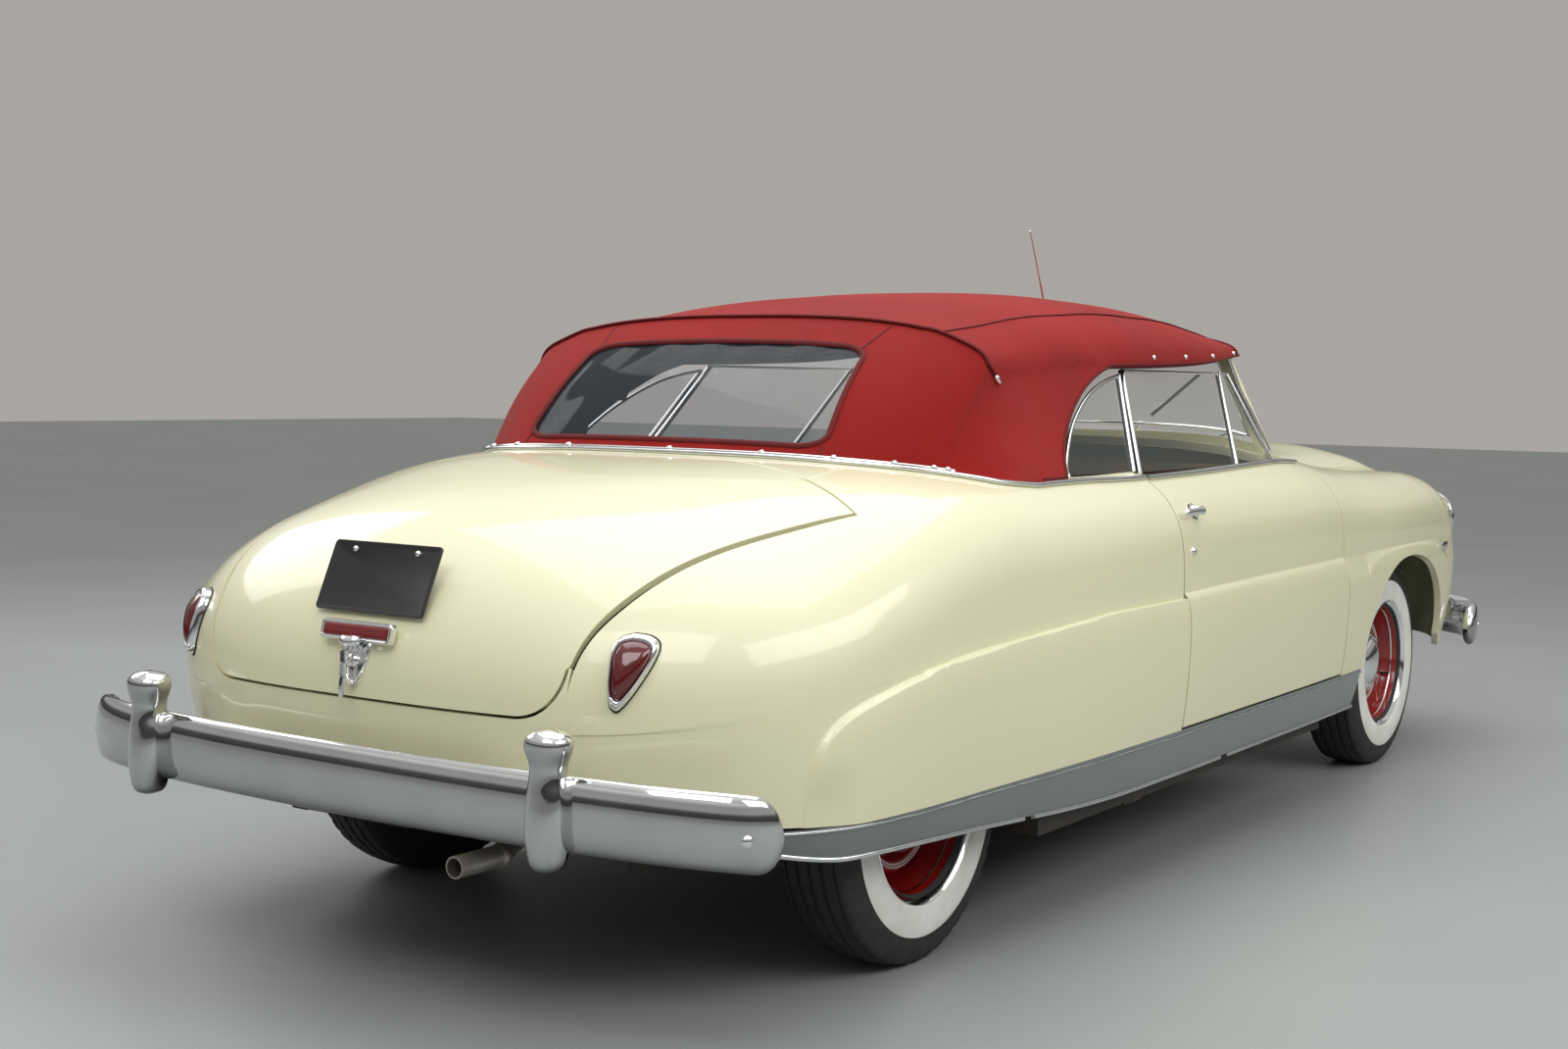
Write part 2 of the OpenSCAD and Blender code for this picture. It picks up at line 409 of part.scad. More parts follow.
// v: 0 to 1 along the roof, 1 to 2 down the rear curtain
function top_pt(t, v) = v <= 1 ? roof_pt(mix(-590, 1060, v), t)
  : let (a = roof_pt(1060, t), b = base_pt(t), f = v - 1) mix(a, b, f) + [0, 26, 18] * sin(180 * f) * (1 - abs(t) * 0.8);
top_vs = concat([for (i = [0 : 4]) i / 4 * 0.6], [0.66, 0.72, 0.77, 0.81, 0.845, 0.88, 0.94, 1], [1.14, 1.45, 1.78, 2]);
top_ts = [for (j = [-12 : 12]) sign(j) * pow(abs(j) / 12, 0.9)];
function shrink(p, k) = [p[0] * k, 300 + (p[1] - 300) * k, 1075 + (p[2] - 1075) * k];
module convertible_top() {
  k = 1 - canvas_thickness / 560;
  O = [for (v = top_vs) fit([for (t = top_ts) top_pt(t, v)])];
  I = [for (v = top_vs) fit([for (t = top_ts) shrink(top_pt(t, v), k)])];
  m = len(O); n = len(O[0]);
  i0 = m - 4; i1 = m - 2; j0 = 8; j1 = 16;
  function id(s, i, j) = s * m * n + i * n + j;
  function solid(i, j) = !(i >= i0 && i < i1 && j >= j0 && j < j1);
  quads = concat(
    [for (i = [0 : m - 2], j = [0 : n - 2]) if (solid(i, j)) [id(0, i, j), id(0, i, j + 1), id(0, i + 1, j + 1), id(0, i + 1, j)]],
    [for (i = [0 : m - 2], j = [0 : n - 2]) if (solid(i, j)) [id(1, i, j), id(1, i + 1, j), id(1, i + 1, j + 1), id(1, i, j + 1)]],
    [for (i = [0 : m - 2]) [id(0, i, 0), id(0, i + 1, 0), id(1, i + 1, 0), id(1, i, 0)]],
    [for (i = [0 : m - 2]) [id(0, i, n - 1), id(1, i, n - 1), id(1, i + 1, n - 1), id(0, i + 1, n - 1)]],
    [for (j = [0 : n - 2]) [id(0, 0, j), id(1, 0, j), id(1, 0, j + 1), id(0, 0, j + 1)]],
    [for (j = [0 : n - 2]) [id(0, m - 1, j), id(0, m - 1, j + 1), id(1, m - 1, j + 1), id(1, m - 1, j)]],
    [for (i = [i0 : i1 - 1]) [id(0, i, j0), id(1, i, j0), id(1, i + 1, j0), id(0, i + 1, j0)]],
    [for (i = [i0 : i1 - 1]) [id(0, i, j1), id(0, i + 1, j1), id(1, i + 1, j1), id(1, i, j1)]],
    [for (j = [j0 : j1 - 1]) [id(0, i0, j), id(0, i0, j + 1), id(1, i0, j + 1), id(1, i0, j)]],
    [for (j = [j0 : j1 - 1]) [id(0, i1, j), id(1, i1, j), id(1, i1, j + 1), id(0, i1, j + 1)]]);
  F = [for (q = quads) for (r = [0 : 1]) r == 0 ? [q[0], q[2], q[1]] : [q[0], q[3], q[2]]];
  color([0.66, 0.16, 0.14])
    closed(concat([for (r = O) for (p = r) p], [for (r = I) for (p = r) p]), F);
}
module rear_window() color([0.5, 0.5, 0.48, 0.4]) {
  ts = [for (j = [8 : 16]) mix(top_ts[12], top_ts[j], 1 - 0.003)];
  vs = [1.142, 1.45, 1.778];
  wall([for (v = vs) fit([for (t = ts) shrink(top_pt(t, v), 0.996)])],
    [for (v = vs) fit([for (t = ts) shrink(top_pt(t, v), 0.989)])]);
}

// ---- bumpers and lamps ----------------------------------------------------------------------------
// blade swept along a rounded plan line, f = +1 rear, -1 front
function plan_pt(a, hw, y0, ym, q) = [hw * sign(a) * pow(abs(sin(a)), 2 / q), y0 + (ym - y0) * pow(pos(cos(a)), 2 / q)];
module blade(hw, y0, ym, q, z0, h, d, n) {
  as = [for (i = [-n : n]) 90 * i / n];
  C = [for (a = as) plan_pt(a, hw, y0, ym, q)];
  sec = [for (b = [0 : 30 : 330]) [cos(b) * d / 2, sin(b) * h / 2]];
  m = len(C); k = len(sec);
  T = [for (i = [0 : m - 1]) let (e = C[min(m - 1, i + 1)] - C[max(0, i - 1)]) e / norm(e)];
  P = [for (i = [0 : m - 1], c = sec) let (nr = [T[i][1], -T[i][0]]) [C[i][0] + nr[0] * c[0], C[i][1] + nr[1] * c[0],
    z0 + c[1] - 34 * pow(abs(as[i]) / 90, 3) * sz]];
  F = concat([for (i = [0 : m - 2], j = [0 : k - 1], r = [0 : 1]) let (a = i * k + j, b = i * k + (j + 1) % k)
      r == 0 ? [a, b, b + k] : [a, b + k, a + k]],
    [for (j = [1 : k - 2]) [0, j + 1, j]], [for (j = [1 : k - 2]) [(m - 1) * k, (m - 1) * k + j, (m - 1) * k + j + 1]]);
  closed(P, F);
}
module bumper_guard(x, y, zl, zh) translate([x, y, 0]) rotate_extrude()
  polygon([[0, zl], [30, zl], [38, zl + 14], [46, zl + 50], [46, zl + 110], [40, zh - 90], [44, zh - 50], [38, zh - 18],
    [24, zh - 4], [0, zh]]);
module rear_bumper() color([0.8, 0.8, 0.82]) union() {
  blade(930 * sx, rear_y - 310, rear_y - 82, 2.7, 474 * sz, 143, 44, 14);
  for (s = [-1, 1]) bumper_guard(s * 567 * sx, rear_y - 88, 366 * sz, 630 * sz);
  for (s = [-1, 1]) translate([s * 380 * sx - 25, 0, 0]) {
    translate([0, 2290 * sy + seat_gap, 402]) cube([50, rear_y - 100 - 2290 * sy, 30]);
    translate([0, rear_y - 134, 402]) cube([50, 54, 90]);
  }
}
module front_bumper() color([0.8, 0.8, 0.82]) union() {
  blade(905 * sx, -rear_y + 309, -rear_y - 20, 3, 438 * sz, 143, 44, 14);
  for (s = [-1, 1]) translate([s * 380 * sx - 25, 0, 0]) {
    translate([0, -rear_y - 10, 296]) cube([50, rear_y + 10 - 2330 * sy - seat_gap, 44]);
    translate([0, -rear_y - 10, 296]) cube([50, 24, 160]);
  }
}
module headlamps() color([0.85, 0.87, 0.9]) for (s = [0, 1]) mirror([s, 0, 0]) translate(lamp_c)
  rotate([90, 0, 0]) rotate_extrude() polygon([[0, -60], [80, -60], [95, -30], [95, 46], [88, 56], [60, 66], [0, 72]]);
tail_lamp_c = [613 * sx, 2296 * sy, 722 * sz];
module tail_lamps() color([0.6, 0.1, 0.08]) for (s = [0, 1]) mirror([s, 0, 0]) {
  xs = [for (i = [0 : 6]) mix(560, 656, i / 6)]; zs = [for (i = [0 : 6]) mix(648, 792, i / 6)];
  wall([for (x = xs) fit([for (z = zs) let (q = x + (z - 720) * 0.08) [q, drop_y(q, z) + 30, z]])],
    [for (x = xs) fit([for (z = zs) let (q = x + (z - 720) * 0.08) [q, drop_y(q, z) + 1, z]])]);
  translate(tail_lamp_c + [0, -8, 0]) rotate([90, 0, 0]) cylinder(d = 50, h = 60, center = true);
}

// ---- cabin ------------------------------------------------------------------------------------------
module dashboard() color([0.25, 0.2, 0.16]) difference() {
  translate([-725 * sx, 0, 0]) rotate([90, 0, 90]) linear_extrude(1450 * sx)
    polygon([[-719 * sy + seat_gap, 1020 * sz], [-545 * sy, 1044 * sz], [-500 * sy, 1000 * sz], [-505 * sy, 900 * sz],
      [-545 * sy, 800 * sz], [-610 * sy, 800 * sz], [-640 * sy, 940 * sz], [-719 * sy + seat_gap, 960 * sz]]);
  translate(col_c) rotate([117, 0, 0]) cylinder(d = 52 + 2 * seat_gap, h = 500);
}
col_c = [370 * sx, -380 * sy, 960 * sz];
module steering_column() color([0.2, 0.18, 0.16]) translate(col_c) rotate([117, 0, 0]) {
  translate([0, 0, 30]) cylinder(d = 52, h = 335 * sy);
}
module steering_wheel() color([0.25, 0.16, 0.1]) translate(col_c) rotate([117, 0, 0]) union() {
  rotate_extrude($fn = 48) translate([steering_wheel_d / 2 - 12, 0]) circle(d = 24, $fn = 16);
  translate([0, 0, -14]) cylinder(d = 80, h = 36);
  for (a = [0, 120, 240]) rotate([0, 0, a + 90]) translate([0, -11, -6]) cube([steering_wheel_d / 2 - 12, 22, 12]);
}
module bench(w, y, d, back_h, lean) translate([-w / 2, y, floor_height + 26 + seat_gap]) rotate([90, 0, 90]) linear_extrude(w)
  polygon([[40, 0], [d - 70, 0], [d - 60, seat_height - 160], [d - 30 + lean * 0.3, seat_height - 60],
    [d + lean + 10, seat_height + back_h - 30], [d + lean - 20, seat_height + back_h], [d + lean - 80, seat_height + back_h],
    [d + lean - 110, seat_height + back_h - 30], [d - 120, seat_height], [30, seat_height + 10], [0, seat_height - 20],
    [0, seat_height - 120], [40, seat_height - 150]]);
module tunnel_room() translate([-140 - seat_gap, -2000, 0]) cube([280 + 2 * seat_gap, 5000, floor_height + 215 + seat_gap]);
module front_seat() color([0.35, 0.24, 0.18]) difference() {
  bench(1270 * sx, -170 * sy, 560, 340, 130);
  tunnel_room();
}
module rear_seat() color([0.35, 0.24, 0.18]) difference() {
  bench(1060 * sx, 640 * sy, 450, 300, 25);
  tunnel_room();
}

// ---- underbody ------------------------------------------------------------------------------------------
module floor_pan() color([0.2, 0.19, 0.18]) {
  y0 = -719 * sy + 2; y1 = 1130 * sy; w = 888 * sx; tz = floor_height + 264;
  difference() {
    union() {
      translate([-w, door_y0, floor_height]) cube([2 * w, y1 - door_y0, 26]);
      for (s = [0, 1]) mirror([s, 0, 0]) translate([w - 110, door_y0, floor_height]) cube([110, y1 - door_y0, 160 * sz]);
      // jacking pads under the sills
      for (s = [0, 1]) mirror([s, 0, 0]) translate([w - 105, 550 * sy, floor_height - 8]) cube([100, 100, 10]);
      translate([-140, door_y0, floor_height]) cube([280, y1 - door_y0, 215]);
      translate([-600 * sx, y1 - 26, floor_height]) cube([1200 * sx, 26, 290]);
      translate([-600 * sx, y1 - 26, tz]) cube([1200 * sx, 740 * sy, 26]);
      translate([-470 * sx, y1, tz]) cube([940 * sx, 2270 * sy - y1, 26]);
      for (s = [0, 1]) mirror([s, 0, 0]) {
        translate([574 * sx, y1 - 26, tz]) cube([26, 740 * sy, 290]);
        translate([574 * sx, y1 - 26, tz + 270]) cube([240 * sx, 740 * sy, 20]);
        translate([350 * sx, y1 - 30, 400]) cube([60, 2290 * sy - y1 + 30, 110]);
      }
    }
    translate([-114, door_y0 - 1, floor_height - 1]) cube([228, y1 - door_y0 + 2, 190]);
  }
}
module front_frame() color([0.12, 0.12, 0.12]) union() {
  for (s = [0, 1]) mirror([s, 0, 0]) translate([340 * sx, -2330 * sy, 330]) cube([70, door_y0 - seat_gap + 2330 * sy, 76]);
  translate([-380 * sx, -2280 * sy, 340]) cube([760 * sx, 70, 70]);
  translate([-400 * sx, front_axle_y - 60, 300]) cube([800 * sx, 120, 60]);
}
module splash_aprons() color([0.1, 0.1, 0.1]) for (s = [0, 1]) mirror([s, 0, 0]) difference() {
  translate([410 * sx + seat_gap, -2150 * sy, 340]) cube([5, door_y0 - 2 + 2150 * sy, 515 * sz]);
  translate([400 * sx, front_axle_y - 130, 100]) cube([40, 260, 480]);
}
module front_suspension() color([0.14, 0.14, 0.14]) for (s = [0, 1]) mirror([s, 0, 0]) union() {
  a = 410 * sx + seat_gap; e = kingpin_x + 5;
  translate([a, front_axle_y - 110, 172]) cube([60, 220, 250]);
  translate([a, front_axle_y - 25, 178]) cube([e - a, 50, 18]);
  translate([a + 30, front_axle_y - 70, 176]) cube([110, 140, 20]);
  translate([a + 80, front_axle_y, 190]) cylinder(d = 110, h = 330);
  translate([a, front_axle_y - 80, 420]) cube([60, 160, 110]);
  translate([a, front_axle_y - 22, 506]) cube([e - a, 44, 13]);
}
module knuckle() color([0.13, 0.13, 0.13]) union() {
  translate([kingpin_x, front_axle_y, 203]) cylinder(d = 34, h = 297);
  translate([kingpin_x, front_axle_y, hub_height]) rotate([0, 90, 0]) cylinder(d = 70, h = 30);
  translate([kingpin_x + 24, front_axle_y, hub_height]) rotate([0, 90, 0]) cylinder(d = drum_diameter, h = 40);
}
module knuckle_left() knuckle();
module knuckle_right() mirror([1, 0, 0]) knuckle();
module rear_axle() color([0.13, 0.13, 0.13]) union() {
  translate([-track_rear / 2 + 40, rear_axle_y, hub_height]) rotate([0, 90, 0]) cylinder(d = 76, h = track_rear - 80);
  translate([-75, rear_axle_y, hub_height]) rotate([0, 90, 0]) cylinder(d = 240, h = 150);
  translate([-150, rear_axle_y, hub_height]) rotate([0, 90, 0]) cylinder(d1 = 90, d2 = 200, h = 80);
  translate([70, rear_axle_y, hub_height]) rotate([0, 90, 0]) cylinder(d1 = 200, d2 = 90, h = 80);
  translate([0, rear_axle_y - 250, hub_height]) rotate([-90, 0, 0]) cylinder(d1 = 90, d2 = 130, h = 200);
  for (s = [-1, 1]) translate([s * (track_rear / 2 - 37) - 20, rear_axle_y, hub_height]) rotate([0, 90, 0]) cylinder(d = drum_diameter, h = 40);
}
module leaf_springs() color([0.1, 0.1, 0.1]) for (s = [0, 1]) mirror([s, 0, 0]) union() {
  h = hub_height; f = 1130 * sy - rear_axle_y + seat_gap;
  translate([470 * sx, rear_axle_y + f, h - 66]) cube([50, 640 - f, 20]);
  translate([470 * sx, rear_axle_y - 250, h - 84]) cube([50, 600, 19]);
  translate([470 * sx, rear_axle_y - 150, h - 46.5]) cube([50, 300, 8.2]);
  for (d = [f, 616]) translate([470 * sx, rear_axle_y + d, h - 60]) cube([50, 24, floor_height + 264 - seat_gap - h + 60]);
}
module prop_shaft() color([0.1, 0.1, 0.1]) translate([0, -556 * sy, 338]) rotate([-90, 0, 0])
  cylinder(d = 76, h = rear_axle_y - 250 - seat_gap + 556 * sy);
module engine_block() color([0.3, 0.12, 0.1]) union() {
  translate([-170, -1900 * sy, 360 + seat_gap]) cube([340, 800 * sy, 500 * sz]);
  translate([-105, -1110 * sy, 285]) cube([210, 545 * sy, 130]);
}
module radiator() color([0.08, 0.08, 0.08]) translate([-330 * sx, -2280 * sy + 70 + seat_gap, 380]) cube([660 * sx, 60, 470 * sz]);
module fuel_tank() color([0.2, 0.2, 0.2]) translate([30, 1790 * sy, 320]) cube([310 * sx, 440 * sy, floor_height + 264 - 320 - seat_gap]);
module pipe(a, b, d) { v = b - a; translate(a) rotate([0, acos(v[2] / norm(v)), atan2(v[1], v[0])]) cylinder(d = d, h = norm(v)); }
module exhaust() color([0.35, 0.33, 0.31]) {
  ty = rear_y - 119;
  P = [[-230, -1150 * sy, 270], [-240, door_y0 - 60, 210.7], [-240, 1165 * sy, 210.7], [-240, rear_axle_y - 100, 430],
    [-240, rear_axle_y + 180, 430], [-240, 1770 * sy, 380]];
  Q = [[-240, 2180 * sy, 380], [-282, 2250 * sy, 345], [-300, 2310 * sy, 327], [-300, ty, 327]];
  difference() {
    union() {
      for (i = [0 : len(P) - 2]) { pipe(P[i], P[i + 1], 50); translate(P[i + 1]) sphere(d = 55); }
      translate([-240, 1750 * sy, 380]) rotate([-90, 0, 0]) cylinder(d = 150, h = 440 * sy);
      for (i = [0 : len(Q) - 2]) pipe(Q[i], Q[i + 1], tailpipe_d);
      for (i = [1 : len(Q) - 2]) translate(Q[i]) sphere(d = tailpipe_d + 5);
    }
    translate([-300, ty - 80, 327]) rotate([-90, 0, 0]) cylinder(d = tailpipe_bore, h = 100);
  }
}

// ---- wheels ---------------------------------------------------------------------------------------------
module tyre() color([0.06, 0.06, 0.06]) rotate([0, 90, 0]) rotate_extrude($fn = 96) {
  w = tyre_width / 2;
  polygon([[rim_r - 16, -66], [rim_r, -80], [rim_r + 35, -w], [rim_r + 75, -w + 2], [tyre_r - 26, -w + 14],
    [tyre_r - 6, -w + 28], [tyre_r, -w + 46], [tyre_r + 0, w - 46], [tyre_r - 6, w - 28], [tyre_r - 26, w - 14],
    [rim_r + 75, w - 2], [rim_r + 35, w], [rim_r, 80], [rim_r - 16, 66]]);
}
module wheel() color([0.6, 0.1, 0.08]) rotate([0, 90, 0]) rotate_extrude($fn = 96) {
  r = rim_r - 16 - seat_gap; c = cap_diameter / 2;
  polygon([[0, 2], [60, 2], [120, -6], [r - 30, 6], [r - 22, -10], [r - 12, -60], [r - 8, -74], [r + 3, -82], [r + 14, -88],
    [r + 15.5, -84], [r + 6, -76], [r, -66], [r, 66], [r + 6, 76], [r + 15.5, 84], [r + 14, 88], [r + 3, 82], [r - 6, 66],
    [r - 14, 30], [r - 24, 24], [c + 24, 8], [c, 20], [c - 6, 34], [c - 30, 46], [c - 60, 54], [0, 58]]);
}
module at(x, y) translate([x, y, hub_height]) children();
module tyre_front_left() at(track_front / 2, front_axle_y) tyre();
module tyre_front_right() at(-track_front / 2, front_axle_y) mirror([1, 0, 0]) tyre();
module tyre_rear_left() at(track_rear / 2, rear_axle_y) tyre();
module tyre_rear_right() at(-track_rear / 2, rear_axle_y) mirror([1, 0, 0]) tyre();
module wheel_front_left() at(track_front / 2, front_axle_y) wheel();
module wheel_front_right() at(-track_front / 2, front_axle_y) mirror([1, 0, 0]) wheel();
module wheel_rear_left() at(track_rear / 2, rear_axle_y) wheel();
module wheel_rear_right() at(-track_rear / 2, rear_axle_y) mirror([1, 0, 0]) wheel();

// ---- fittings ---------------------------------------------------------------------------------------------
plate_lean = 24;
plate_c = [0, drop_y(0, 862) * sy + 36, 862 * sz];
module licence_plate() color([0.05, 0.05, 0.05]) translate(plate_c) rotate([plate_lean, 0, 0]) difference() {
  union() {
    translate([-plate_width / 2, 0, -plate_height / 2]) cube([plate_width, 4, plate_height]);
    translate([-60, -20, -26]) cube([120, 21, 39]);
  }
  for (s = [-1, 1]) translate([s * plate_bolt_spacing / 2, 20, plate_height / 2 - 18])
    rotate([90, 0, 0]) cylinder(d = plate_bolt_d, h = 40);
}
module lid_handle() color([0.8, 0.8, 0.8]) translate([0, drop_y(0, 745) * sy + 2.8, 745 * sz]) rotate([15, 0, 0]) union() {
  translate([-60, 0, 0]) cube([120, 18, 24]);
  translate([-12, 0, -100]) cube([24, 24, 110]);
}
module handle() color([0.8, 0.8, 0.8]) {
  y = 410 * sy; z = 958 * sz; x = top_x(410, 958) * sx;
  translate([x + 3.4, y - 50, z - 8]) cube([12, 26, 16]);
  translate([x + 14, y - 50, z - 8]) cube([12, 150, 16]);
}
module door_handle_left() handle();
module door_handle_right() mirror([1, 0, 0]) handle();
module antenna() color([0.8, 0.8, 0.8]) union() {
  translate([0, -612 * sy, 1426.4 * sz]) cylinder(d = 16, h = 30);
  translate([0, -612 * sy, 1450 * sz]) rotate([-26, 0, 0]) cylinder(d = 5, h = 345);
}

// the pieces are drawn about the body's own datum; y = 0 is set half way along the overall length
module placed() translate([0, mid, 0]) children();

placed() floor_pan();
placed() front_frame();
placed() splash_aprons();
placed() quarter_panels();
placed() deck_panel();
placed() tail_panel();
placed() front_fender_left();
placed() front_fender_right();
placed() cowl();
placed() hood();
placed() nose();
placed() grille();
placed() trunk_lid();
placed() door_left();
placed() door_right();
placed() door_glass_left();
placed() door_glass_right();
placed() rocker_trims();
placed() windshield_frame();
placed() windshield_glass();
placed() convertible_top();
placed() rear_window();
placed() quarter_glass();
placed() front_bumper();
placed() rear_bumper();
placed() headlamps();
placed() tail_lamps();
placed() dashboard();
placed() steering_column();
placed() steering_wheel();
placed() front_seat();
placed() rear_seat();
placed() engine_block();
placed() radiator();
placed() exhaust();
placed() prop_shaft();
placed() rear_axle();
placed() leaf_springs();
placed() fuel_tank();
placed() front_suspension();
placed() knuckle_left();
placed() knuckle_right();
placed() tyre_front_left();
placed() tyre_front_right();
placed() tyre_rear_left();
placed() tyre_rear_right();
placed() wheel_front_left();
placed() wheel_front_right();
placed() wheel_rear_left();
placed() wheel_rear_right();
placed() licence_plate();
placed() lid_handle();
placed() door_handle_left();
placed() door_handle_right();
placed() antenna();
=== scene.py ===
"""Looks of a full-size two-door convertible of about 1950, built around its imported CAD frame."""
import math

import bmesh
import bpy
import numpy as np
from mathutils import Matrix, Vector


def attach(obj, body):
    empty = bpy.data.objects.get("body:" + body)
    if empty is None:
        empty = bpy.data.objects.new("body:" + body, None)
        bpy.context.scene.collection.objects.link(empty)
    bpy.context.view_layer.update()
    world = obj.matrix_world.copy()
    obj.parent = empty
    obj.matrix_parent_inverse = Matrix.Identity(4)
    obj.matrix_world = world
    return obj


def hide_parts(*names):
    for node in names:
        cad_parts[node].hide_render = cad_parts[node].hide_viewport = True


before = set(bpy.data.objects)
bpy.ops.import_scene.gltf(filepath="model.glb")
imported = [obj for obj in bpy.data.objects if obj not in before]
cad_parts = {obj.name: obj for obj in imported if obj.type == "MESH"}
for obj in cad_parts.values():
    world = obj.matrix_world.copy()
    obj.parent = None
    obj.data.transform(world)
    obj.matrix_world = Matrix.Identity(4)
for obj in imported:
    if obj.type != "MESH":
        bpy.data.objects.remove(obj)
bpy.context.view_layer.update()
MM = 0.001
MID = 42.0  # the body's datum lies this far ahead of the middle of the overall length

# ---- camera -------------------------------------------------------------------------------------
scene = bpy.context.scene
cam_data = bpy.data.cameras.new("camera")
cam = bpy.data.objects.new("camera", cam_data)
scene.collection.objects.link(cam)
yaw, pitch, roll = (math.radians(a) for a in (34.36, -4.09, 0.90))
fwd = Vector((math.sin(yaw) * math.cos(pitch), -math.cos(yaw) * math.cos(pitch), math.sin(pitch)))
right = fwd.cross(Vector((0, 0, 1))).normalized()
up = right.cross(fwd)
r2 = math.cos(roll) * right + math.sin(roll) * up
u2 = -math.sin(roll) * right + math.cos(roll) * up
cam.matrix_world = Matrix.Translation(Vector((-2.977, 5.286, 1.276))) @ Matrix(
    ((r2.x, u2.x, -fwd.x), (r2.y, u2.y, -fwd.y), (r2.z, u2.z, -fwd.z))).to_4x4()
cam_data.sensor_width = 36
cam_data.lens = 2049 / 1600 * 36
cam_data.clip_end = 200
scene.camera = cam


# ---- body surface, in millimetres: the CAD source's formulas, but a lower side crease to the rear ---
def ease(a, b, v):
    t = np.clip((np.asarray(v, float) - a) / (b - a), 0, 1)
    return t * t * (3 - 2 * t)


def mix(a, b, t):
    return a + (b - a) * t


def curve(points, v):
    pts = np.asarray(points, float)
    px, py = pts[:, 0], pts[:, 1]
    v = np.asarray(v, float)
    m = np.empty(len(px))
    m[0] = (py[1] - py[0]) / (px[1] - px[0])
    m[-1] = (py[-1] - py[-2]) / (px[-1] - px[-2])
    m[1:-1] = (py[2:] - py[:-2]) / (px[2:] - px[:-2])
    i = np.clip(np.searchsorted(px, v, side="right") - 1, 0, len(px) - 2)
    w = px[i + 1] - px[i]
    t = np.clip((v - px[i]) / w, 0, 1)
    t2, t3 = t * t, t * t * t
    return ((2 * t3 - 3 * t2 + 1) * py[i] + (t3 - 2 * t2 + t) * w * m[i]
            + (3 * t2 - 2 * t3) * py[i + 1] + (t3 - t2) * w * m[i + 1])


def bow(t, q):
    """Superellipse fall-off from 1 at t = 0 to 0 at t = 1."""
    return np.clip(1 - np.clip(t, 0, 1) ** q, 0, None) ** (1 / q)


def cap(y):
    return np.where(y > 1500, bow((y - 1500) / 918, 3), bow((-1900 - y) / 540, 4))


def wide0(y):
    return curve([[-2440, 862], [-1950, 905], [-1400, 946], [-746, 969], [0, 977], [479, 978.5],
                  [1000, 971], [1474, 950], [1900, 939], [2484, 925]], y)


def step(y):
    return 23 * (1 - ease(1750, 2150, y)) * (1 - ease(-2000, -2300, y))


def wide(y):
    return wide0(y) * cap(y)


def wide_up(y):
    return np.clip(wide0(y) - step(y), 0, None) * cap(y)


def zwide(y):
    return curve([[-2440, 640], [-1900, 690], [-1000, 700], [1300, 700], [1900, 670], [2484, 578]], y)


def crown(y):
    return curve([[-2440, 1000], [-2236, 1022], [-1557, 1038], [-1100, 1066], [-746, 1104], [-500, 1120],
                  [479, 1120], [1324, 1105], [1900, 1100], [2484, 1092]], y)


def crown_cap(y):
    return np.where(y > 1150, bow((y - 1150) / 1268, 2.5), bow((-2050 - y) / 390, 3))


def rise(y):
    return (crown(y) - zwide(y)) * crown_cap(y)


def power(y):
    return (curve([[-2440, 3.4], [-1900, 4], [1300, 4], [1900, 3.3], [2484, 2.6]], y)
            - 0.8 * ease(1250, 1900, y) * (1 - ease(1900, 2484, y)))


def bonnet(x, y):
    return (1 - ease(-1000, -746, y)) * ease(-2420, -2150, y) * (
        46 * (1 - ease(200, 600, np.abs(x))) - 26 * np.exp(-((np.abs(x) - 600) / 80) ** 2))


def top_z(x, y):
    x, y = np.asarray(x, float), np.asarray(y, float)
    p = power(y)
    r = np.minimum(1, np.abs(x) / np.maximum(1, wide_up(y)))
    return zwide(y) + rise(y) * np.clip(1 - r ** p, 0, None) ** (1 / p) + bonnet(x, y)


def top_x(y, z):
    p = power(y)
    return wide_up(y) * np.clip(1 - np.clip((z - zwide(y)) / np.maximum(1, rise(y)), 0, 1) ** p, 0,
                                None) ** (1 / p)


# 20 mm below the CAD source's crease at the back of the doors and up to 47 mm below it towards the tail
def crease_z(y):
    return curve([[-2440, 745], [-1494, 762], [-736, 764], [502, 750], [1130, 730], [1587, 702],
                  [1783, 678], [1965, 645], [2100, 620], [2484, 600]], y)


def low_tuck(y):
    return 18 + 62 * ease(1900, 2450, y) + 40 * ease(-1950, -2400, y)


def low_x(y, z):
    z = np.asarray(z, float)
    return wide(y) - np.where(z > 666, 8 * ((z - 666) / 62) ** 2 * step(y) / 23,
                              low_tuck(y) * ((666 - z) / 259) ** 2)


def belt_x(y):
    return curve([[-746, 778], [-500, 799], [0, 826], [479, 836], [850, 828], [1080, 780], [1250, 670],
                  [1330, 552]], y)


def edge_x(y):
    return curve([[1500, 790], [1695, 732], [1928, 663], [2119, 610], [2243, 567], [2330, 524],
                  [2418, 488]], y)


def lid_front(x):
    return 1470 + 225 * (np.abs(x) / 732) ** 1.4


ARCH_C = -1461


def arch_z(y):
    u = np.abs(np.asarray(y, float) - ARCH_C) / 495
    return np.where(u >= 1, 0, 400 + 328 * bow(u, 2.2))


def low_edge(y):
    y = np.asarray(y, float)
    return np.where(y < ARCH_C, mix(372, 366, ease(-2400, -1960, y)),
                    np.where(y < 1900, 404, mix(404, 432, ease(1900, 2400, y))))


def bisect(f, a, b, n=26):
    """Vectorised: the place between a and b where f turns from true to false."""
    a, b = np.array(a, float), np.array(b, float)
    for _ in range(n):
        m = (a + b) / 2
        ok = f(m)
        a, b = np.where(ok, m, a), np.where(ok, b, m)
    return (a + b) / 2


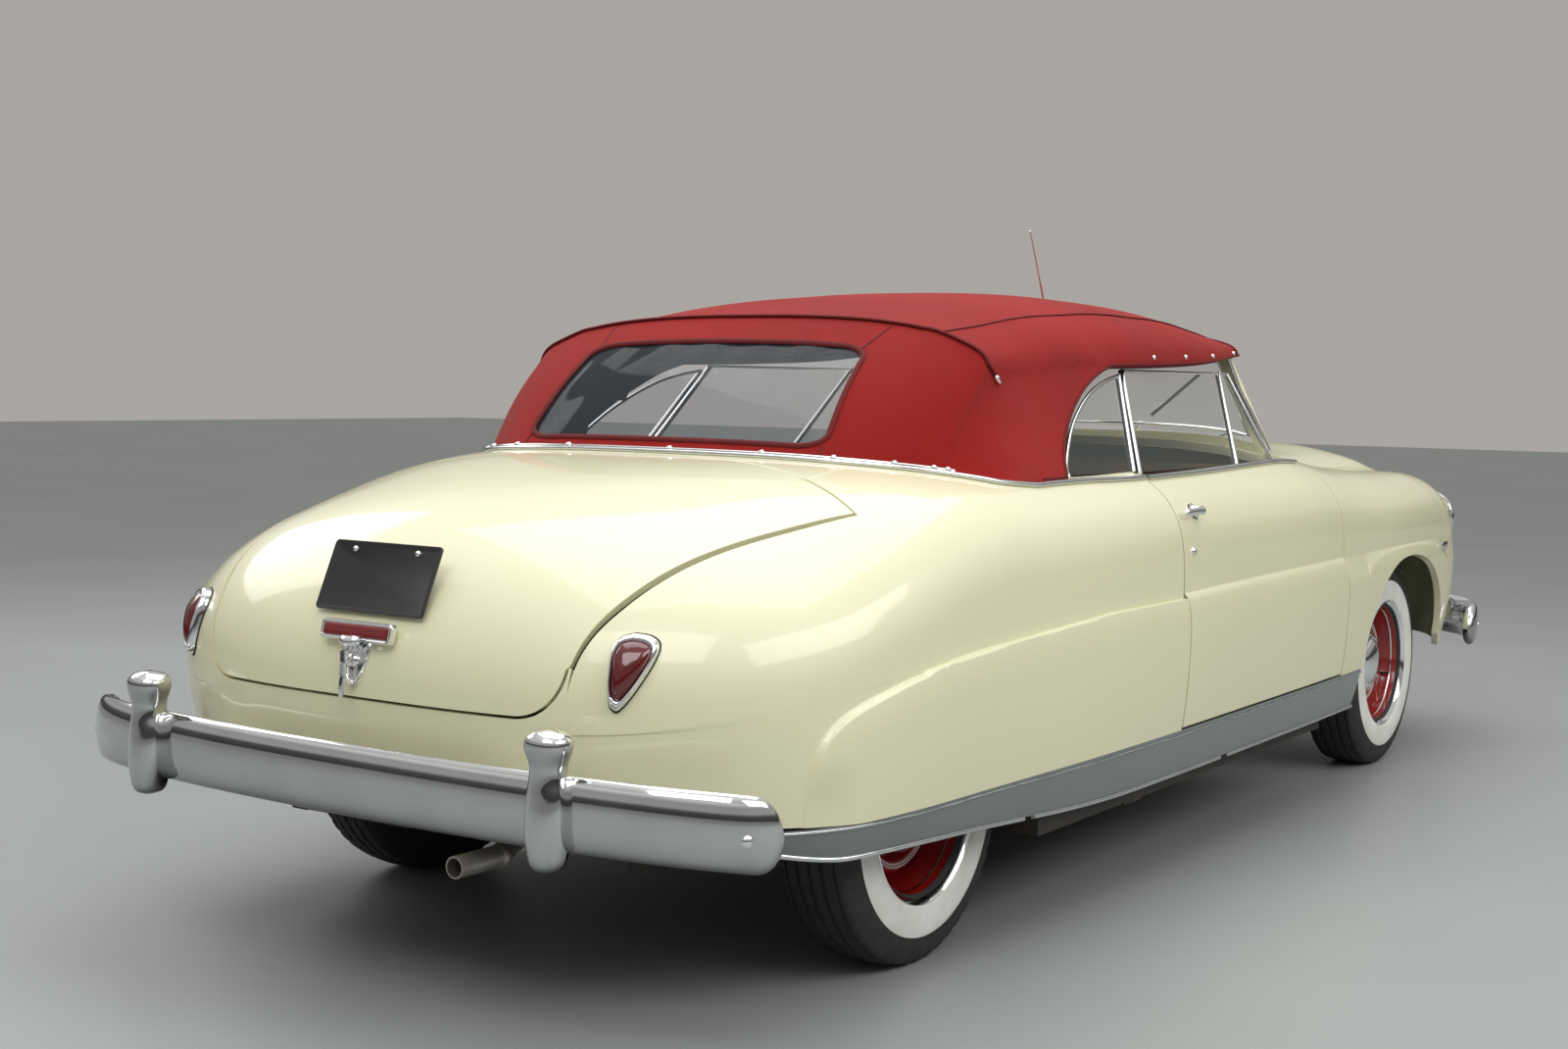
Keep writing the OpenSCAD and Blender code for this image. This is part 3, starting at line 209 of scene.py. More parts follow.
def drop_y(x, z):
    x, z = np.broadcast_arrays(np.asarray(x, float), np.asarray(z, float))
    return bisect(lambda m: (top_z(x, m) > z) & (np.abs(x) < wide_up(m) - 1), np.full(x.shape, 1450.0),
                  np.full(x.shape, 2418.0))


def skin_x(y, z):
    """Half width of the whole side at a height, over the ledge."""
    zc = crease_z(y)
    return mix(low_x(y, z), top_x(y, z), np.clip((z - zc + 5) / 8, 0, 1))


def tail_y(x, z):
    """The tail's surface below the lid, met smoothly with the quarter panels."""
    x, z = np.broadcast_arrays(np.asarray(x, float), np.asarray(z, float))
    y0 = bisect(lambda m: skin_x(m, z) > np.abs(x), np.full(x.shape, 1600.0), np.full(x.shape, 2418.0))
    flat = 1500 + 918 * bow(np.abs(x) / 930, 3) - 6 - 0.0009 * (640 - z) ** 2
    return np.where(z < 652, mix(flat, y0, np.clip(ease(250, 470, np.abs(x)) + ease(621, 652, z), 0, 1)), y0)


def arc_sample(pts, n):
    """n points evenly spaced along a polyline."""
    pts = np.asarray(pts, float)
    d = np.r_[0, np.cumsum(np.linalg.norm(np.diff(pts, axis=0), axis=1))]
    s = np.linspace(0, d[-1], n)
    return np.stack([np.interp(s, d, pts[:, k]) for k in range(pts.shape[1])], 1)


def side_section(y, x0, zlow, n_up=30, lows=(0, 0.03, 0.1, 0.2, 0.32, 0.45, 0.58, 0.7, 0.82, 0.92, 1.0)):
    w, p, h, zc = float(wide_up(y)), float(power(y)), max(2.0, float(rise(y))), float(crease_z(y))
    a0 = math.acos(min(1, max(0, x0 / max(1, w))) ** (p / 2))
    zs = max(zc + 3, zlow + 8)
    zr = min(0.98, max(0, (zs - float(zwide(y))) / h))
    a1 = min(a0 - 0.0087, math.asin(zr ** (p / 2)))
    a = np.linspace(a0, a1, 160)
    x = w * np.clip(np.cos(a), 0, None) ** (2 / p)
    z = float(zwide(y)) + h * np.clip(np.sin(a), 0, None) ** (2 / p) + bonnet(x, y)
    rows = arc_sample(np.stack([x, np.full_like(x, y), z], 1), n_up)
    z0 = max(min(zc - 5, mix(zs, zlow, 0.2)), zlow + 4)
    zl = mix(z0, zlow, np.array(lows))
    low = np.stack([low_x(y, zl), np.full_like(zl, y), zl], 1)
    up_end, low_top = rows[-1], low[0]
    near = rows[-2] + (up_end - rows[-2]) * 0.85
    ledge = [mix(up_end, low_top, t) for t in (0.14, 0.5, 0.86)]
    return np.vstack([rows[:-1], [near], [up_end], ledge, low])


# ---- mesh helpers ---------------------------------------------------------------------------------
def quads(m, n, off=0, close_u=False, close_v=False):
    mu, nv = (m if close_u else m - 1), (n if close_v else n - 1)
    return [(off + i * n + j, off + i * n + (j + 1) % n, off + ((i + 1) % m) * n + (j + 1) % n,
             off + ((i + 1) % m) * n + j) for i in range(mu) for j in range(nv)]


def make(name, verts, faces, material, body, slot, rep=(), bevel=0, smooth=35, segments=2, subsurf=0,
         fix=True):
    mesh = bpy.data.meshes.new(name)
    co = np.asarray(verts, float) + np.array([0, MID, 0])
    mesh.from_pydata([tuple(c) for c in co * MM], [], [tuple(f) for f in faces])
    bm = bmesh.new()
    bm.from_mesh(mesh)
    bmesh.ops.remove_doubles(bm, verts=bm.verts, dist=2e-6)
    bmesh.ops.dissolve_degenerate(bm, edges=bm.edges, dist=1e-6)
    if fix:
        bmesh.ops.recalc_face_normals(bm, faces=bm.faces)
    bm.to_mesh(mesh)
    bm.free()
    obj = bpy.data.objects.new(name, mesh)
    scene.collection.objects.link(obj)
    mesh.materials.append(material)
    for f in mesh.polygons:
        f.use_smooth = True
    if bevel:
        b = obj.modifiers.new("edge", "BEVEL")
        b.width, b.segments, b.limit_method, b.angle_limit = bevel * MM, segments, "ANGLE", math.radians(34)
        b.harden_normals = False
    if subsurf:
        s = obj.modifiers.new("fine", "SUBSURF")
        s.levels = s.render_levels = subsurf
    if smooth and not subsurf:
        mesh.set_sharp_from_angle(angle=math.radians(smooth))
    if rep:
        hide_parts(*rep)
    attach(obj, body)
    return obj


def grid_normals(P):
    du = np.gradient(P, axis=0)
    dv = np.gradient(P, axis=1)
    n = np.cross(du, dv)
    n /= np.maximum(1e-9, np.linalg.norm(n, axis=2, keepdims=True))
    away = P - np.array([0, 0, 500]) - np.array([0, 1, 0]) * P * 0.85
    return n if (n * away).sum() > 0 else -n


def grid_rim(m, n):
    """Row and column of each point round the edge of a grid, in order."""
    return ([(0, j) for j in range(n)] + [(i, n - 1) for i in range(1, m)]
            + [(m - 1, j) for j in range(n - 2, -1, -1)] + [(i, 0) for i in range(m - 2, 0, -1)])


def panel_mesh(P, flange=16, inward=None):
    """A skin with its edges turned in, as pressed panels are."""
    P = np.asarray(P, float)
    m, n = P.shape[:2]
    N = grid_normals(P) if inward is None else np.broadcast_to(-np.asarray(inward, float), P.shape)
    verts = list(P.reshape(-1, 3))
    faces = quads(m, n)
    loop = grid_rim(m, n)
    if flange:
        base = len(verts)
        for i, j in loop:
            verts.append(P[i, j] - N[i, j] * flange)
        k = len(loop)
        for q in range(k):
            a, b = loop[q], loop[(q + 1) % k]
            faces.append((a[0] * n + a[1], base + q, base + (q + 1) % k, b[0] * n + b[1]))
    return verts, faces


def panel(name, P, material, body, slot, rep=(), flange=16, bevel=2.2, inward=None, smooth_angle=48, **kw):
    v, f = panel_mesh(P, flange, inward)
    return make(name, v, f, material, body, slot, rep, bevel=bevel, smooth=smooth_angle, **kw)


def merge(parts):
    """Several (verts, faces) joined into one."""
    V, F = [], []
    for v, f in parts:
        o = len(V)
        V += list(v)
        F += [tuple(i + o for i in q) for q in f]
    return V, F


def flipx(P):
    Q = np.array(P, float).copy()
    Q[..., 0] *= -1
    return Q


def tube(path, r, n=10, closed=False, squash=(1, 1), up_hint=(0, 0, 1), caps=True):
    """A round or oval bar along a path; r may be one radius or one for each point."""
    path = np.asarray(path, float)
    m = len(path)
    r = np.broadcast_to(np.asarray(r, float), (m,))
    if closed:
        t = np.roll(path, -1, 0) - np.roll(path, 1, 0)
    else:
        t = np.gradient(path, axis=0)
    t /= np.maximum(1e-9, np.linalg.norm(t, axis=1, keepdims=True))
    s = np.cross(t, np.asarray(up_hint, float))
    bad = np.linalg.norm(s, axis=1) < 0.15
    s[bad] = np.cross(t[bad], (1, 0, 0))
    s /= np.linalg.norm(s, axis=1, keepdims=True)
    u = np.cross(s, t)
    a = np.linspace(0, 2 * math.pi, n, endpoint=False)
    P = (path[:, None] + s[:, None] * (np.cos(a)[None, :, None] * r[:, None, None] * squash[0])
         + u[:, None] * (np.sin(a)[None, :, None] * r[:, None, None] * squash[1]))
    v = list(P.reshape(-1, 3))
    f = quads(m, n, close_u=closed, close_v=True)
    if caps and not closed:
        f.append(tuple(range(n)))
        f.append(tuple(reversed(range((m - 1) * n, m * n))))
    return v, f


def lathe(profile, centre, axis, n=64, start=(0, 0, 1)):
    """Turns a profile of (radius, along) round an axis through centre."""
    ax = np.asarray(axis, float) / np.linalg.norm(axis)
    s = np.cross(ax, np.asarray(start, float))
    s /= np.linalg.norm(s)
    u = np.cross(ax, s)
    a = np.linspace(0, 2 * math.pi, n, endpoint=False)
    pr = np.asarray(profile, float)
    P = (np.asarray(centre, float) + ax * pr[:, None, 1:2]
         + (s * np.cos(a)[:, None] + u * np.sin(a)[:, None])[None] * pr[:, None, 0:1])
    return list(P.reshape(-1, 3)), quads(len(pr), n, close_v=True)


def loft(rings):
    R = np.asarray(rings, float)
    m, n = R.shape[:2]
    f = quads(m, n, close_v=True)
    f.append(tuple(range(n)))
    f.append(tuple(reversed(range((m - 1) * n, m * n))))
    return list(R.reshape(-1, 3)), f


def block(lo, hi):
    (x0, y0, z0), (x1, y1, z1) = lo, hi
    v = [(x, y, z) for x in (x0, x1) for y in (y0, y1) for z in (z0, z1)]
    return v, [(0, 1, 3, 2), (4, 6, 7, 5), (0, 4, 5, 1), (2, 3, 7, 6), (0, 2, 6, 4), (1, 5, 7, 3)]


def slab(O, I):
    """A closed wall between an outer and an inner grid."""
    m, n = O.shape[:2]
    v = list(O.reshape(-1, 3)) + list(I.reshape(-1, 3))
    k = m * n
    f = quads(m, n) + [tuple(reversed(q)) for q in quads(m, n, k)]
    loop = grid_rim(m, n)
    for q in range(len(loop)):
        a, b = loop[q], loop[(q + 1) % len(loop)]
        ia, ib = a[0] * n + a[1], b[0] * n + b[1]
        f.append((ia, ia + k, ib + k, ib))
    return v, f


def smooth_path(points, n):
    """A smooth curve through a few 3-D points."""
    P = np.asarray(points, float)
    d = np.r_[0, np.cumsum(np.linalg.norm(np.diff(P, axis=0), axis=1))]
    s = np.linspace(0, d[-1], n)
    return np.stack([curve(np.stack([d, P[:, k]], 1), s) for k in range(3)], 1)


# ---- materials ------------------------------------------------------------------------------------
def srgb(r, g, b):
    return tuple(((c / 255) / 12.92 if c <= 10.3 else ((c / 255 + 0.055) / 1.055) ** 2.4)
                 for c in (r, g, b)) + (1,)


def material(name, colour, rough, metal=0.0, vary=0.06, scale=6.0, rough_vary=0.08, bump=0.0,
             bump_scale=400.0,
             coat=0.0, coat_rough=0.03, detail=4.0, weave=0.0, weave_size=900.0, second=None,
             second_amount=0.3,
             sheen=0.0, spec=0.5, **sockets):
    """A principled surface with noise in its colour, roughness and height, and a weave where asked."""
    mat = bpy.data.materials.new(name)
    mat.use_nodes = True
    nt = mat.node_tree
    bsdf = nt.nodes["Principled BSDF"]
    bsdf.inputs["Metallic"].default_value = metal
    bsdf.inputs["Coat Weight"].default_value = coat
    bsdf.inputs["Coat Roughness"].default_value = coat_rough
    bsdf.inputs["Sheen Weight"].default_value = sheen
    bsdf.inputs["Specular IOR Level"].default_value = spec
    for k, v in sockets.items():
        bsdf.inputs[k.replace("_", " ")].default_value = v
    tex = nt.nodes.new("ShaderNodeTexCoord")
    n1 = nt.nodes.new("ShaderNodeTexNoise")
    n1.inputs["Scale"].default_value = scale
    n1.inputs["Detail"].default_value = detail
    nt.links.new(tex.outputs["Object"], n1.inputs["Vector"])
    ramp = nt.nodes.new("ShaderNodeValToRGB")
    c = np.array(colour[:3])
    lo = c * (1 - vary) if second is None else mix(c, np.array(second[:3]), second_amount)
    ramp.color_ramp.elements[0].position, ramp.color_ramp.elements[1].position = 0.35, 0.65
    ramp.color_ramp.elements[0].color = tuple(lo) + (1,)
    ramp.color_ramp.elements[1].color = tuple(np.clip(c * (1 + vary), 0, 1)) + (1,)
    nt.links.new(n1.outputs["Fac"], ramp.inputs["Fac"])
    colour_out = ramp.outputs["Color"]
    rr = nt.nodes.new("ShaderNodeMapRange")
    rr.inputs["To Min"].default_value = max(0.0, rough - rough_vary)
    rr.inputs["To Max"].default_value = min(1.0, rough + rough_vary)
    nt.links.new(n1.outputs["Fac"], rr.inputs["Value"])
    nt.links.new(rr.outputs["Result"], bsdf.inputs["Roughness"])
    height = None
    if bump:
        n2 = nt.nodes.new("ShaderNodeTexNoise")
        n2.inputs["Scale"].default_value = bump_scale
        n2.inputs["Detail"].default_value = 2
        nt.links.new(tex.outputs["Object"], n2.inputs["Vector"])
        height = n2.outputs["Fac"]
    if weave:
        waves = []
        for direction in ("X", "Y"):
            w = nt.nodes.new("ShaderNodeTexWave")
            w.wave_type, w.bands_direction = "BANDS", direction
            w.inputs["Scale"].default_value = weave_size
            w.inputs["Distortion"].default_value = 0.6
            nt.links.new(tex.outputs["Object"], w.inputs["Vector"])
            waves.append(w)
        m = nt.nodes.new("ShaderNodeMath")
        m.operation = "MULTIPLY"
        nt.links.new(waves[0].outputs["Fac"], m.inputs[0])
        nt.links.new(waves[1].outputs["Fac"], m.inputs[1])
        height = m.outputs[0]
        dark = nt.nodes.new("ShaderNodeMix")
        dark.data_type, dark.blend_type = "RGBA", "MULTIPLY"
        sc = nt.nodes.new("ShaderNodeMapRange")
        sc.inputs["To Min"].default_value, sc.inputs["To Max"].default_value = 0.55, 1.0
        nt.links.new(m.outputs[0], sc.inputs["Value"])
        dark.inputs[0].default_value = 0.5
        nt.links.new(colour_out, dark.inputs[6])
        nt.links.new(sc.outputs["Result"], dark.inputs[7])
        colour_out = dark.outputs[2]
    nt.links.new(colour_out, bsdf.inputs["Base Color"])
    if height is not None:
        b = nt.nodes.new("ShaderNodeBump")
        b.inputs["Strength"].default_value = bump or weave
        b.inputs["Distance"].default_value = 0.0006
        nt.links.new(height, b.inputs["Height"])
        nt.links.new(b.outputs["Normal"], bsdf.inputs["Normal"])
    return mat


def glass(name, tint, alpha, rough=0.02, vary=0.02):
    """Thin glass or clear vinyl: mostly see-through, with a bright coat."""
    mat = material(name, tint, rough, vary=vary, rough_vary=0.015, scale=3)
    bsdf = mat.node_tree.nodes["Principled BSDF"]
    bsdf.inputs["Alpha"].default_value = alpha
    bsdf.inputs["Coat Weight"].default_value = 0.5
    bsdf.inputs["Coat Roughness"].default_value = 0.02
    return mat


PAINT = material("cream_paint", srgb(231, 228, 192), 0.4, vary=0.010, scale=1.3, rough_vary=0.04, bump=0.02,
                 bump_scale=260, coat=0.75, coat_rough=0.07)
CHROME = material("chrome", (0.86, 0.87, 0.88), 0.07, metal=1, vary=0.03, scale=9, rough_vary=0.04, bump=0.01,
                  bump_scale=60)
STEEL = material("brushed_stainless", (0.72, 0.73, 0.74), 0.2, metal=1, vary=0.05, scale=40, rough_vary=0.08,
                 bump=0.03, bump_scale=900)
GREY = material("rocker_grey_enamel", srgb(112, 119, 118), 0.3, vary=0.05, scale=5, coat=0.6, coat_rough=0.08,
                bump=0.03, bump_scale=300)
CANVAS = material("red_canvas", srgb(160, 27, 22), 0.86, vary=0.10, scale=3.0, weave=0.5, weave_size=330,
                  sheen=0.08, spec=0.15)
CANVAS_IN = material("canvas_lining", srgb(92, 74, 62), 0.92, vary=0.10, scale=14, weave=0.3, weave_size=300,
                     spec=0.2)
WELT = material("red_binding", srgb(112, 18, 20), 0.7, vary=0.10, scale=20, weave=0.4, weave_size=520,
                spec=0.3)
RUBBER = material("tyre_rubber", srgb(34, 34, 35), 0.72, vary=0.16, scale=30, bump=0.25, bump_scale=500,
                  second=srgb(66, 62, 57), second_amount=0.35)
WHITEWALL = material("whitewall", srgb(238, 237, 232), 0.5, vary=0.02, scale=12, bump=0.05, bump_scale=160,
                     second=srgb(214, 210, 200), second_amount=0.5)
RED_STEEL = material("wheel_red_enamel", srgb(150, 24, 22), 0.25, vary=0.06, scale=14, coat=0.9,
                     coat_rough=0.05,
                     bump=0.02, bump_scale=300)
LENS = material("tail_lens", srgb(92, 7, 9), 0.1, vary=0.15, scale=30, coat=1.0, coat_rough=0.02,
                bump=0.3, bump_scale=140)
SEAL = material("black_rubber_seal", srgb(24, 24, 25), 0.55, vary=0.15, scale=40, bump=0.1, bump_scale=500)
UNDER = material("chassis_black", srgb(38, 36, 34), 0.62, vary=0.20, scale=9, bump=0.2, bump_scale=90,
                 second=srgb(84, 66, 52), second_amount=0.28)
PIPE = material("exhaust_steel", (0.34, 0.32, 0.30), 0.42, metal=0.85, vary=0.16, scale=16, bump=0.12,
                bump_scale=120,
                second=(0.22, 0.13, 0.08, 1), second_amount=0.4)
LEATHER = material("seat_leather", srgb(112, 40, 34), 0.48, vary=0.10, scale=12, bump=0.35, bump_scale=520,
                   second=srgb(84, 30, 26), second_amount=0.5)
TRIM_IN = material("interior_panel", srgb(96, 74, 56), 0.5, vary=0.10, scale=10, bump=0.2, bump_scale=420)
DASH = material("dash_woodgrain", srgb(104, 74, 48), 0.3, vary=0.16, scale=5, bump=0.04, bump_scale=200,
                coat=0.7,
                second=srgb(66, 42, 26), second_amount=0.6, detail=9)
CARPET = material("carpet", srgb(66, 50, 40), 0.97, vary=0.2, scale=120, bump=0.8, bump_scale=800)
BAKELITE = material("wheel_rim_plastic", srgb(206, 196, 160), 0.25, vary=0.05, scale=9, coat=0.6, bump=0.02)
BLACK = material("plate_black", srgb(22, 22, 24), 0.3, vary=0.1, scale=12, coat=0.5, bump=0.03,
                 bump_scale=200)
INSERT = material("badge_red_enamel", srgb(120, 16, 20), 0.18, vary=0.08, scale=30, coat=1.0, bump=0.01)
ENGINE = material("engine_red", srgb(120, 34, 26), 0.5, vary=0.14, scale=14, bump=0.2, bump_scale=110,
                  second=srgb(60, 30, 24), second_amount=0.4)
GLASS = glass("window_glass", srgb(150, 160, 156), 0.10)
VINYL = glass("clear_vinyl", srgb(96, 106, 116), 0.22, rough=0.06, vary=0.10)
LAMP_GLASS = glass("headlamp_glass", srgb(232, 236, 238), 0.35)


def paint_nodes(names, mat):
    for n in names:
        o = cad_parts[n]
        o.data.materials.clear()
        o.data.materials.append(mat)


def painted_shade_below(mat, name, painted_shade_tone=0.25, faces_down=-0.6, faces_up=0.35):
    """A copy of a metal with painted shade: its colour dims on the faces that look down at the floor."""
    copy = mat.copy()
    copy.name = name
    nt = copy.node_tree
    colour = nt.nodes["Principled BSDF"].inputs["Base Color"]
    source = colour.links[0].from_socket
    geometry, split, tone, dim = (nt.nodes.new("ShaderNode" + n)
                                  for n in ("NewGeometry", "SeparateXYZ", "MapRange", "VectorMath"))
    dim.operation = "SCALE"
    for key, value in (("From Min", faces_down), ("From Max", faces_up), ("To Min", painted_shade_tone),
                       ("To Max", 1.0)):
        tone.inputs[key].default_value = value
    # painted shade: the base colour is scaled down as the face normal turns towards the floor
    nt.links.new(geometry.outputs["Normal"], split.inputs[0])
    nt.links.new(split.outputs["Z"], tone.inputs["Value"])
    nt.links.new(source, dim.inputs[0])
    nt.links.new(tone.outputs[0], dim.inputs["Scale"])
    nt.links.new(dim.outputs[0], colour)
    return copy


# ---- body panels ----------------------------------------------------------------------------------
def both(name, P, mat, bodies, slot, reps, **kw):
    panel(name + "_left", P, mat, bodies[0], slot, reps[0], **kw)
    panel(name + "_right", flipx(P), mat, bodies[1], slot, reps[1], **kw)


DOOR0, DOOR1, GAP = -746.0, 479.0, 6.5
LID_Z, ROUND = 628.0, 95.0

# quarter panels: from the door to the lid's edge
EDGE = 1621.6
tail_rows = 1500 + 918 * np.sin(np.radians(np.linspace(35, 65, 44))) ** (2 / 3)
quarter_ys = np.unique(np.r_[np.linspace(DOOR1 + GAP, 1326, 34), np.linspace(1326, EDGE - GAP, 14),
                             np.linspace(EDGE - GAP, 1695 - GAP, 10),
                             np.r_[np.linspace(1700, 1890, 16), np.linspace(1900, 2080, 78)],
                             np.linspace(2095, 2200, 12), tail_rows[tail_rows > 2205]])


def quarter_inner(y):
    if y < 1330:
        x = max(552.0, float(belt_x(y)) - 34)
    elif y < EDGE - GAP:
        x = 552.0
    elif y < 1695 - GAP:
        x = 732 * ((y + GAP - 1470) / 225) ** (1 / 1.4)
    else:
        x = float(edge_x(y))
    return min(x, float(wide_up(y)) - 7)


# the proud side's upper edge turns down and ends ahead of the rear bumper
cy_ = np.linspace(1200, 1700, 24)
CREST = np.vstack([
    np.stack([cy_, crease_z(cy_) - 1], 1),
    smooth_path([[1720, 0, 681], [1783, 0, 671], [1904, 0, 643], [1973, 0, 617], [2015, 0, 582],
                 [2032, 0, 545], [2038, 0, 500], [2038, 0, 440], [2036, 0, 380]], 150)[:, ::2][:, :2]])


def crest_share(y, z):
    """1 on the proud lower side, 0 outside its raised edge, which curves down ahead of the rear bumper."""
    d = np.hypot(y[..., None] - CREST[:, 0], z[..., None] - CREST[:, 1])
    near = d.argmin(-1)
    c = CREST[near]
    t = CREST[np.minimum(near + 1, len(CREST) - 1)] - CREST[np.maximum(near - 1, 0)]
    side = t[..., 0] * (z - c[..., 1]) - t[..., 1] * (y - c[..., 0])
    d = np.where(side < 0, d.min(-1), -d.min(-1))
    grow = ease(1750, 1960, y)
    return ease(-3.6 - 3 * grow, 3.6 + 3 * grow, d)


def quarter_row(y):
    """One section of the quarter panel, from the lid's edge to the sill."""
    zc = float(np.interp(min(y, 2012), CREST[:, 0][:150], CREST[:, 1][:150]))
    zw, w, p, h = float(zwide(y)), float(wide_up(y)), float(power(y)), max(2.0, float(rise(y)))
    zl = float(low_edge(y))
    zc = max(zc, zl + 60)
    z_top = max(zc + 16, zw)
    a0 = math.acos(min(1, max(0, quarter_inner(y) / max(1, w))) ** (p / 2))
    a1 = min(a0 - 0.0087, math.asin(min(0.98, max(0, (z_top - zw) / h)) ** (p / 2)))
    a = np.linspace(a0, a1, 160)
    arc_ = np.stack([w * np.clip(np.cos(a), 0, None) ** (2 / p), np.full_like(a, y),
                     zw + h * np.clip(np.sin(a), 0, None) ** (2 / p)], 1)
    rows = arc_sample(arc_, 40)
    z1 = rows[-1, 2]
    zs_ = np.r_[np.linspace(z1, zc + 9, 7)[1:],
                zc + np.array([6.5, 4.5, 3, 1.8, 0.6, -0.6, -1.8, -3, -4.5, -6.5, -9]),
                mix(zc - 12, zl, np.linspace(0, 1, 46) ** 1.1)]
    base = np.where(zs_ > zw, top_x(y, np.maximum(zs_, zw)),
                    float(wide(y)) - float(step(y)) - float(low_tuck(y))
                    * (np.clip(666 - zs_, 0, None) / 259) ** 2)
    base = np.minimum(base, rows[-1, 0] + np.clip(z1 - zs_, 0, 40))
    full = 23 - (23 - float(step(y))) * 0.40
    roll = 7 * (np.clip(zs_ - (zc - 62), 0, None) / 62) ** 2
    fade = 1 - 0.6 * ease(545, 430, zs_) * float(ease(1900, 2000, y))
    target = full * fade - roll * (1 - 0.5 * float(ease(1900, 2020, y)))
    x = base + crest_share(np.full_like(zs_, y), zs_) * np.clip(target, 0, None)
    return np.vstack([rows, np.stack([x, np.full_like(zs_, y), zs_], 1)])


Q = np.array([quarter_row(y) for y in quarter_ys])
both("quarter", Q, PAINT, ("shell", "shell"), "body_paint", ((), ("quarter_panels",)), smooth_angle=75)


# trunk lid, with its lower corners rounded
def squircle(a, b):
    return a * np.sqrt(1 - b * b / 2), b * np.sqrt(1 - a * a / 2)


us = np.linspace(-1, 1, 71)
fr = np.sin(np.radians(np.linspace(0, 90, 64))) ** 0.95
y_side = mix(1695, float(drop_y(504, LID_Z)), fr)
X = us[None, :] * (edge_x(y_side) - GAP - 2)[:, None]
Y = mix(lid_front(us * 722)[None], drop_y(X, np.full_like(X, LID_Z)), fr[:, None])
Z = np.maximum(top_z(X, Y), LID_Z)
half_low = float(X[-1, -1])
a = np.clip((np.abs(X) - (half_low - ROUND)) / ROUND, 0, 1)
b = np.clip((LID_Z + ROUND - Z) / ROUND, 0, 1)
corner = (a > 0) & (b > 0)
a2, b2 = squircle(a, b)
X2 = np.where(corner, np.sign(X) * (half_low - ROUND + a2 * ROUND), X)
Z2 = np.where(corner, LID_Z + ROUND - b2 * ROUND, Z)
Y2 = np.where(corner, drop_y(X2, Z2), Y)
panel("lid", np.stack([X2, Y2, Z2], 2), PAINT, "deck_lid", "body_paint", ("trunk_lid",), flange=18)

# the panel between the top and the lid
xs = np.linspace(-551.7, 551.7, 60)
yd = np.stack([mix(1362 - 32 * np.abs(xs / 552) ** 2, lid_front(xs) - GAP, t)
               for t in np.linspace(0, 1, 14)], 1)
P = np.stack([np.repeat(xs[:, None], 14, 1), yd, top_z(xs[:, None], yd)], 2)
panel("deck", P, PAINT, "shell", "body_paint", ("deck_panel",))

# the tail below and beside the lid, without a seam to the quarter panels
last = Q[-1]


def slice_x(z):
    return np.interp(z, last[::-1, 2], last[::-1, 0])


zt = np.r_[np.linspace(430, 600, 12), 612, LID_Z - GAP]
W = slice_x(zt) + 0.4
X = np.linspace(-1, 1, 61)[None] * W[:, None]
ZZ = np.repeat(zt[:, None], 61, 1)
tail = panel_mesh(np.stack([X, tail_y(X, ZZ), ZZ], 2), 14)
zc_ = np.linspace(LID_Z - GAP, LID_Z + ROUND + 2, 24)
arc = half_low - ROUND + np.sqrt(np.clip((ROUND + GAP) ** 2 - (LID_Z + ROUND - zc_) ** 2, 0, None))
sides = []
for sign in (1, -1):
    X = mix(np.minimum(arc, slice_x(zc_) - 1)[:, None], slice_x(zc_)[:, None] + 0.4,
            np.linspace(0, 1, 16)[None])
    Zc = np.repeat(zc_[:, None], 16, 1)
    sides.append(panel_mesh(np.stack([sign * X, tail_y(X, Zc), Zc], 2), 14))
v, f = merge([tail] + sides)
make("tail", v, f, PAINT, "shell", "body_paint", ("tail_panel",), smooth=48)

# front fenders, with the open wheel arch
fy = np.r_[np.linspace(DOOR0 - GAP, ARCH_C + 500, 12),
           ARCH_C + 494.8 * np.cos(np.radians(np.arange(0, 181, 4))),
           np.linspace(-2000, -2330, 14), -2352, -2372, -2388, -2400, -2407]
Fp = np.array([side_section(y, min(566.5, float(wide_up(y)) - 12),
                            float(max(low_edge(y), arch_z(y)))) for y in fy])
lamp = np.array([690.0, -2440.0 + 62, 800.0])
both("front_fender", Fp, PAINT, ("shell", "shell"), "body_paint",
     (("front_fender_left",), ("front_fender_right",)), flange=22)

# hood, cowl, nose
xs, ys = np.linspace(-560, 560, 66), np.linspace(-2290, DOOR0 - GAP, 60)
X, Yh = np.meshgrid(xs, ys, indexing="ij")
panel("hood_skin", np.stack([X, Yh, top_z(X, Yh)], 2), PAINT, "hood_lid", "body_paint", ("hood",))
xs, ys = np.linspace(-742, 742, 60), np.linspace(-746, -560, 12)
X, Yh = np.meshgrid(xs, ys, indexing="ij")
panel("cowl_skin", np.stack([X, Yh, top_z(X, Yh)], 2), PAINT, "shell", "body_paint")


def nose_at(x):
    return -1900 - 540 * bow(np.abs(x) / 862, 4) + 2


xs = np.linspace(-566.2, 566.2, 60)
kk = np.linspace(0, 1, 26)
Yn = mix(-2297, nose_at(xs)[:, None], np.sin(kk * math.pi / 2)[None])
Zn = np.maximum(648, top_z(np.repeat(xs[:, None], 26, 1), Yn))
panel("nose_skin", np.stack([np.repeat(xs[:, None], 26, 1), Yn, Zn], 2), PAINT, "shell", "body_paint",
      ("nose",))
zs = np.linspace(424, 350, 8)
X, Zv = np.meshgrid(xs * 0.89, zs, indexing="ij")
panel("front_valance", np.stack([X, nose_at(X) + 6 + (424 - Zv) * 0.3, Zv], 2), PAINT, "shell", "body_paint")


